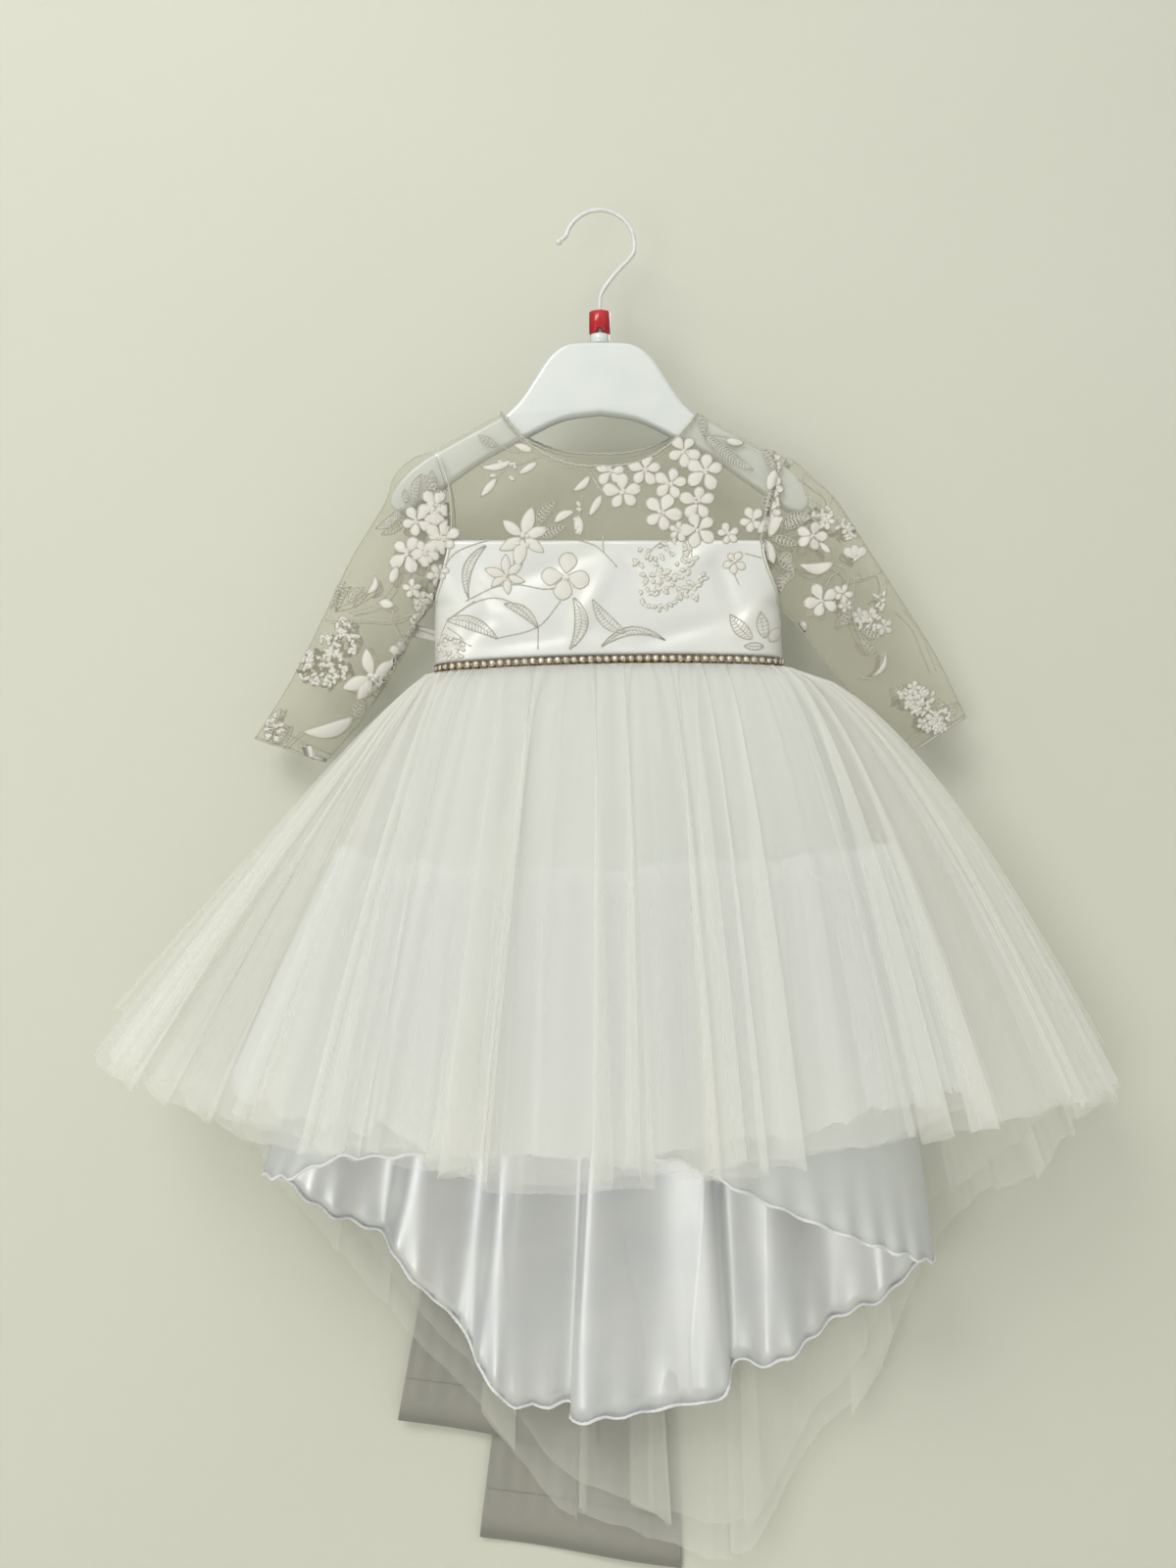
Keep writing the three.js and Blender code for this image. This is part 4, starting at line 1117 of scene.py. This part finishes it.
def satin_skirt(side, hem, folds, across=240, down=50):
    """One half of the satin skirt with its folds, as a grid."""
    u, v = across_and_down(across, down)
    grid = skirt_point(UNDERSKIRT, side, hem, u, v)
    hem_x = mix(UNDERSKIRT["left"], UNDERSKIRT["right"], side_share(u))
    free = smooth_step(np.minimum(u, 1 - u), 0, 0.06)
    for crest, half_width, deep, lap, lower in folds:
        bump = np.exp(-(((hem_x - crest) / (half_width * (0.7 + 0.3 * v))) ** 2)) * free
        grid[..., 1] -= deep * bump * v**1.1
        grid[..., 0] += lap * bump * v**1.1
        grid[..., 2] -= lower * bump * v**4
    return grid


def rolled_hem(name, grid, wave):
    """The rolled and overlocked edge along a skirt grid's foot, frilled like a lettuce leaf."""
    edge = grid[-1]
    length = np.concatenate([[0], np.cumsum(np.linalg.norm(np.diff(edge, axis=0), axis=1))])
    steps = np.linspace(0, length[-1], int(length[-1] / 2.2))
    route = np.stack([np.interp(steps, length, edge[:, k]) for k in range(3)], axis=1)
    frill = np.sin(2 * math.pi * steps / wave + 1.4 * np.sin(steps / 37.0))
    route[:, 1] += 0.4 * frill
    radius = 1.05 + 0.25 * np.sin(steps * 2.1) * np.sin(steps * 0.63)
    return joined_piece(name, [cord_shape(route, radius, 7)], ROLLED_THREAD)


def frilled(grid, ripple, wave):
    """The same grid with its foot frilled over the last few centimetres."""
    edge = grid[-1]
    length = np.concatenate([[0], np.cumsum(np.linalg.norm(np.diff(edge, axis=0), axis=1))])
    frill = np.sin(2 * math.pi * length / wave + 1.4 * np.sin(length / 37.0))
    frill = frill * smooth_step(np.minimum(length, length[-1] - length), 0, 60)
    low = np.linspace(0, 1, len(grid))[:, None] ** 22
    grid[..., 1] += ripple * frill * low
    grid[..., 2] += 0.5 * ripple * np.cos(2 * math.pi * length / wave) * low
    return grid


# %% Underskirt pieces
for side, folds, flat, length in (
    ("front", FRONT_FOLDS, (0.52, 0.4), 340), ("back", TRAIN_FOLDS, (0.56, 0.5), 480),
):
    # The front's dull satin is darkened to paint the shade under the tulle.
    finish = SATIN_DULL_IN_PAINTED_SHADE if side == "front" else SATIN_TRAIN
    grid = frilled(satin_skirt(side, UNDERSKIRT_HEM[side], folds), 2.2, 24.0)
    piece = sheet_piece(f"underskirt_{side}_satin", grid, finish, (560, length), wall=0.5)
    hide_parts(f"underskirt_{side}")
    rolled_hem(f"underskirt_{side}_rolled_hem", grid, 24.0)
    report_sheet(piece, flat)

# %% [markdown]
# ## The sash
# Two satin sash ends are sewn into the back of the waist and hang down behind the train. Only their lower
# ends show below the tulle. Each is a long strip, gathered into a narrow seam at its top, with a turned hem.

# %% Sash tails
SASH_TAILS = {
    "left": {"top": (-24, 0), "bottom": ((-141, -830), (-2, -852)), "back": 43, "cut": (140, 540)},
    "right": {"top": (8, 32), "bottom": ((-84, -914), (58, -936)), "back": 48, "cut": (144, 620)},
}


SASH_GATHERS = 10


def sash_grid(tail, across=121, down=36):
    u, v = across_and_down(across, down)
    (left_x, left_z), (right_x, right_z) = tail["bottom"]
    x = mix(mix(tail["top"][0], tail["top"][1], u), mix(left_x, right_x, u), v**0.8)
    z = mix(-311.0, mix(left_z, right_z, u), v)
    y = mix(21.0, float(tail["back"]), smooth_step(-311 - z, 0, 120))
    gather = np.clip(0.4 + 3 * v, 0, 1) * np.clip((1 - v) / 0.45, 0, 1)
    y = y + 1.8 * np.sin(u * 2 * math.pi * SASH_GATHERS) * gather
    y = y - 3.0 * np.sin(u * math.pi * 2 + v * 3) * v * (1 - 0.4 * v)
    return np.stack([x, y, z], axis=-1)


for name, tail in SASH_TAILS.items():
    grid = sash_grid(tail)
    # The tails' dark grey satin is painted shade, not the cloth's own colour.
    piece = sheet_piece(f"sash_tail_{name}_satin", grid, SATIN_SASH_PAINTED_SHADE, tail["cut"], wall=0.5)
    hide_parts(f"sash_tail_{name}")
    fold = grid[-3, 1:-1] - [0, 0.45, 0]
    joined_piece(f"sash_tail_{name}_hem_fold", [cord_shape(fold, 0.3, 5)], SATIN_SASH_PAINTED_SHADE)
    report_sheet(piece, (tail["cut"][0] * MM, tail["cut"][1] * MM))

# %% [markdown]
# ## The waist chain
# Cup chain is a row of small glass stones, each in a brass cup, linked 5.4 mm apart. It hides the waist seam.
# Each cup is a low turned rim and each stone a cut cone with a flat table, so every one catches a light.

# %% Cups and stones
def turned_to_face(shape, place, facing):
    """A shape made facing +Z, turned to face a direction and moved to its place."""
    points, faces = shape
    turn = np.array(Vector((0, 0, 1)).rotation_difference(Vector(facing)).to_matrix())
    return points @ turn.T + place, faces


cup = turned([(0.4, -0.6), (1.9, -0.6), (2.35, 0.3), (2.3, 0.95), (1.85, 1.05), (1.75, 0.5)], 12)
stone = turned([(1.85, 0.55), (1.5, 1.2), (0.95, 1.5), (0.01, 1.55)], 8)
for side in ("front", "back"):
    u = np.linspace(0.0005, 0.9995, 600)
    line = np.stack(waist_point(side, u), axis=1)
    line[:, 1] += SIGN[side] * 1.6
    line[:, 2] -= 3.0
    length = np.concatenate([[0], np.cumsum(np.linalg.norm(np.diff(line, axis=0), axis=1))])
    steps = np.arange(2.4, length[-1] - 2.0, 5.4)
    places = np.stack([np.interp(steps, length, line[:, k]) for k in range(3)], axis=1)
    along = np.gradient(places, axis=0)
    facing = np.cross(along, [0, 0, 1.0]) * (1 if side == "front" else -1)
    facing /= np.linalg.norm(facing, axis=1)[:, None]
    facing += rng.normal(0, 0.09, facing.shape)
    cups = [turned_to_face(cup, place, way) for place, way in zip(places, facing)]
    stations = np.arange(1, length[-1] - 1, 3)
    link = np.stack([np.interp(stations, length, line[:, k]) for k in range(3)], axis=1)
    cups.append(cord_shape(link, 0.75, 6))
    cup_piece = joined_piece(f"waist_chain_{side}_cups", cups, CUP_BRASS)
    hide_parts(f"waist_chain_{side}")
    stones = [turned_to_face(stone, place, way) for place, way in zip(places, facing)]
    joined_piece(f"waist_chain_{side}_stones", stones, STONE)
    print("waist chain", side, len(places), "stones")

# %% [markdown]
# ## The room
# The gown hangs in front of a plain wall with a pale floor far below. The wall shows only its front face and
# stops no light, so the gown can be looked at from behind as well, lit by the room. One large soft light
# stands high in front on the left, a weaker one stands low beside it like a window, and one is behind.

# %% Wall and floor
def plaster(name, light, shade):
    """Matt emulsion on plaster: roller marks a few millimetres wide and slow changes of tone."""
    material, tree, output = new_material(name)
    place = add_node(tree, "ShaderNodeTexCoord").outputs["Object"]
    tone = add_node(tree, "ShaderNodeTexNoise", Vector=place, Scale=1.3, Detail=3.0).outputs[0]
    tone = add_node(tree, "ShaderNodeMapRange", i0=tone, i1=0.35, i2=0.65).outputs[0]
    colour = add_node(
        tree, "ShaderNodeMix", {"data_type": "RGBA"}, i0=tone, i6=linear(light), i7=linear(shade)
    ).outputs[2]
    marks = add_node(tree, "ShaderNodeTexNoise", Vector=place, Scale=260.0, Detail=2.0).outputs[0]
    relief = add_node(tree, "ShaderNodeBump", Strength=0.1, Distance=0.0006, Height=marks).outputs[0]
    paint = add_node(
        tree, "ShaderNodeBsdfPrincipled", Base_Color=colour, Roughness=0.85, Normal=relief,
        Specular_IOR_Level=0.2,
    ).outputs[0]
    side = add_node(tree, "ShaderNodeNewGeometry").outputs["Backfacing"]
    clear = add_node(tree, "ShaderNodeBsdfTransparent").outputs[0]
    surface = add_node(tree, "ShaderNodeMixShader", i0=side, i1=paint, i2=clear)
    tree.links.new(surface.outputs[0], output.inputs[0])
    return material


def stage_plane(name, corners, material):
    mesh = bpy.data.meshes.new(name)
    mesh.from_pydata(corners, [], [(0, 1, 2, 3)])
    mesh.materials.append(material)
    plane = bpy.data.objects.new(name, mesh)
    bpy.context.scene.collection.objects.link(plane)
    return plane


WALL = plaster("matt_emulsion_on_plaster", "#DADBCE", "#D6D7C9")
FLOOR = plaster("pale_painted_floor", "#E2E1D8", "#DAD9D0")
WALL_Y = 0.052
wall = stage_plane(
    "wall", [(-2.5, WALL_Y, -1.15), (2.5, WALL_Y, -1.15), (2.5, WALL_Y, 1.3), (-2.5, WALL_Y, 1.3)], WALL
)
wall.visible_diffuse = False
wall.visible_glossy = False
wall.visible_shadow = False
floor = stage_plane("floor", [(-5, -5, -1.15), (5, -5, -1.15), (5, 5, -1.15), (-5, 5, -1.15)], FLOOR)
print("stage:", wall.name, floor.name)


# %% Light
def soft_light(name, place, target, size, power, colour):
    lamp = bpy.data.lights.new(name, "AREA")
    lamp.shape = "RECTANGLE"
    lamp.size, lamp.size_y = size
    lamp.energy = power
    lamp.color = linear(colour)[:3]
    holder = bpy.data.objects.new(name, lamp)
    holder.location = place
    holder.rotation_euler = (Vector(target) - Vector(place)).to_track_quat("-Z", "Y").to_euler()
    bpy.context.scene.collection.objects.link(holder)
    return holder


soft_light("key_light", (-0.9, -1.7, 1.1), (0.0, 0.0, -0.45), (1.1, 0.8), 21.0, "#FFFEFA")
soft_light("window_light", (-0.75, -1.9, -0.6), (0.0, 0.0, -0.75), (0.6, 0.9), 6.5, "#FFFFFF")
soft_light("back_light", (0.9, 1.9, 0.7), (0.0, 0.0, -0.45), (1.2, 1.0), 9.0, "#FFFFFF")
world = bpy.data.worlds.new("room")
bpy.context.scene.world = world
world.use_nodes = True
room = world.node_tree
background = room.nodes["Background"]
way = add_node(
    room, "ShaderNodeSeparateXYZ", Vector=add_node(room, "ShaderNodeTexCoord").outputs["Generated"]
)
glow = add_node(room, "ShaderNodeMapRange", i0=way.outputs[2], i1=-0.6, i2=0.8, i3=0.2, i4=0.9).outputs[0]
dimmer = add_node(room, "ShaderNodeMapRange", i0=way.outputs[1], i1=-0.4, i2=0.5, i3=1.05, i4=0.4).outputs[0]
glow = add_node(room, "ShaderNodeMath", {"operation": "MULTIPLY"}, i0=glow, i1=dimmer).outputs[0]
room.links.new(glow, background.inputs["Strength"])
background.inputs["Color"].default_value = linear("#EFF0EC")
bpy.context.scene.view_settings.view_transform = "Standard"
# A line of sight can cross a dozen or more layers of net, counting each overlap.
bpy.context.scene.cycles.transparent_max_bounces = 20

# %% Camera
lens = bpy.data.cameras.new("camera")
lens.lens = 37.5
lens.sensor_width = 36.0
camera = bpy.data.objects.new("camera", lens)
camera.location = (-0.0079, -1.1, -0.385)
camera.rotation_euler = (math.pi / 2, 0, 0)
bpy.context.scene.collection.objects.link(camera)
bpy.context.scene.camera = camera
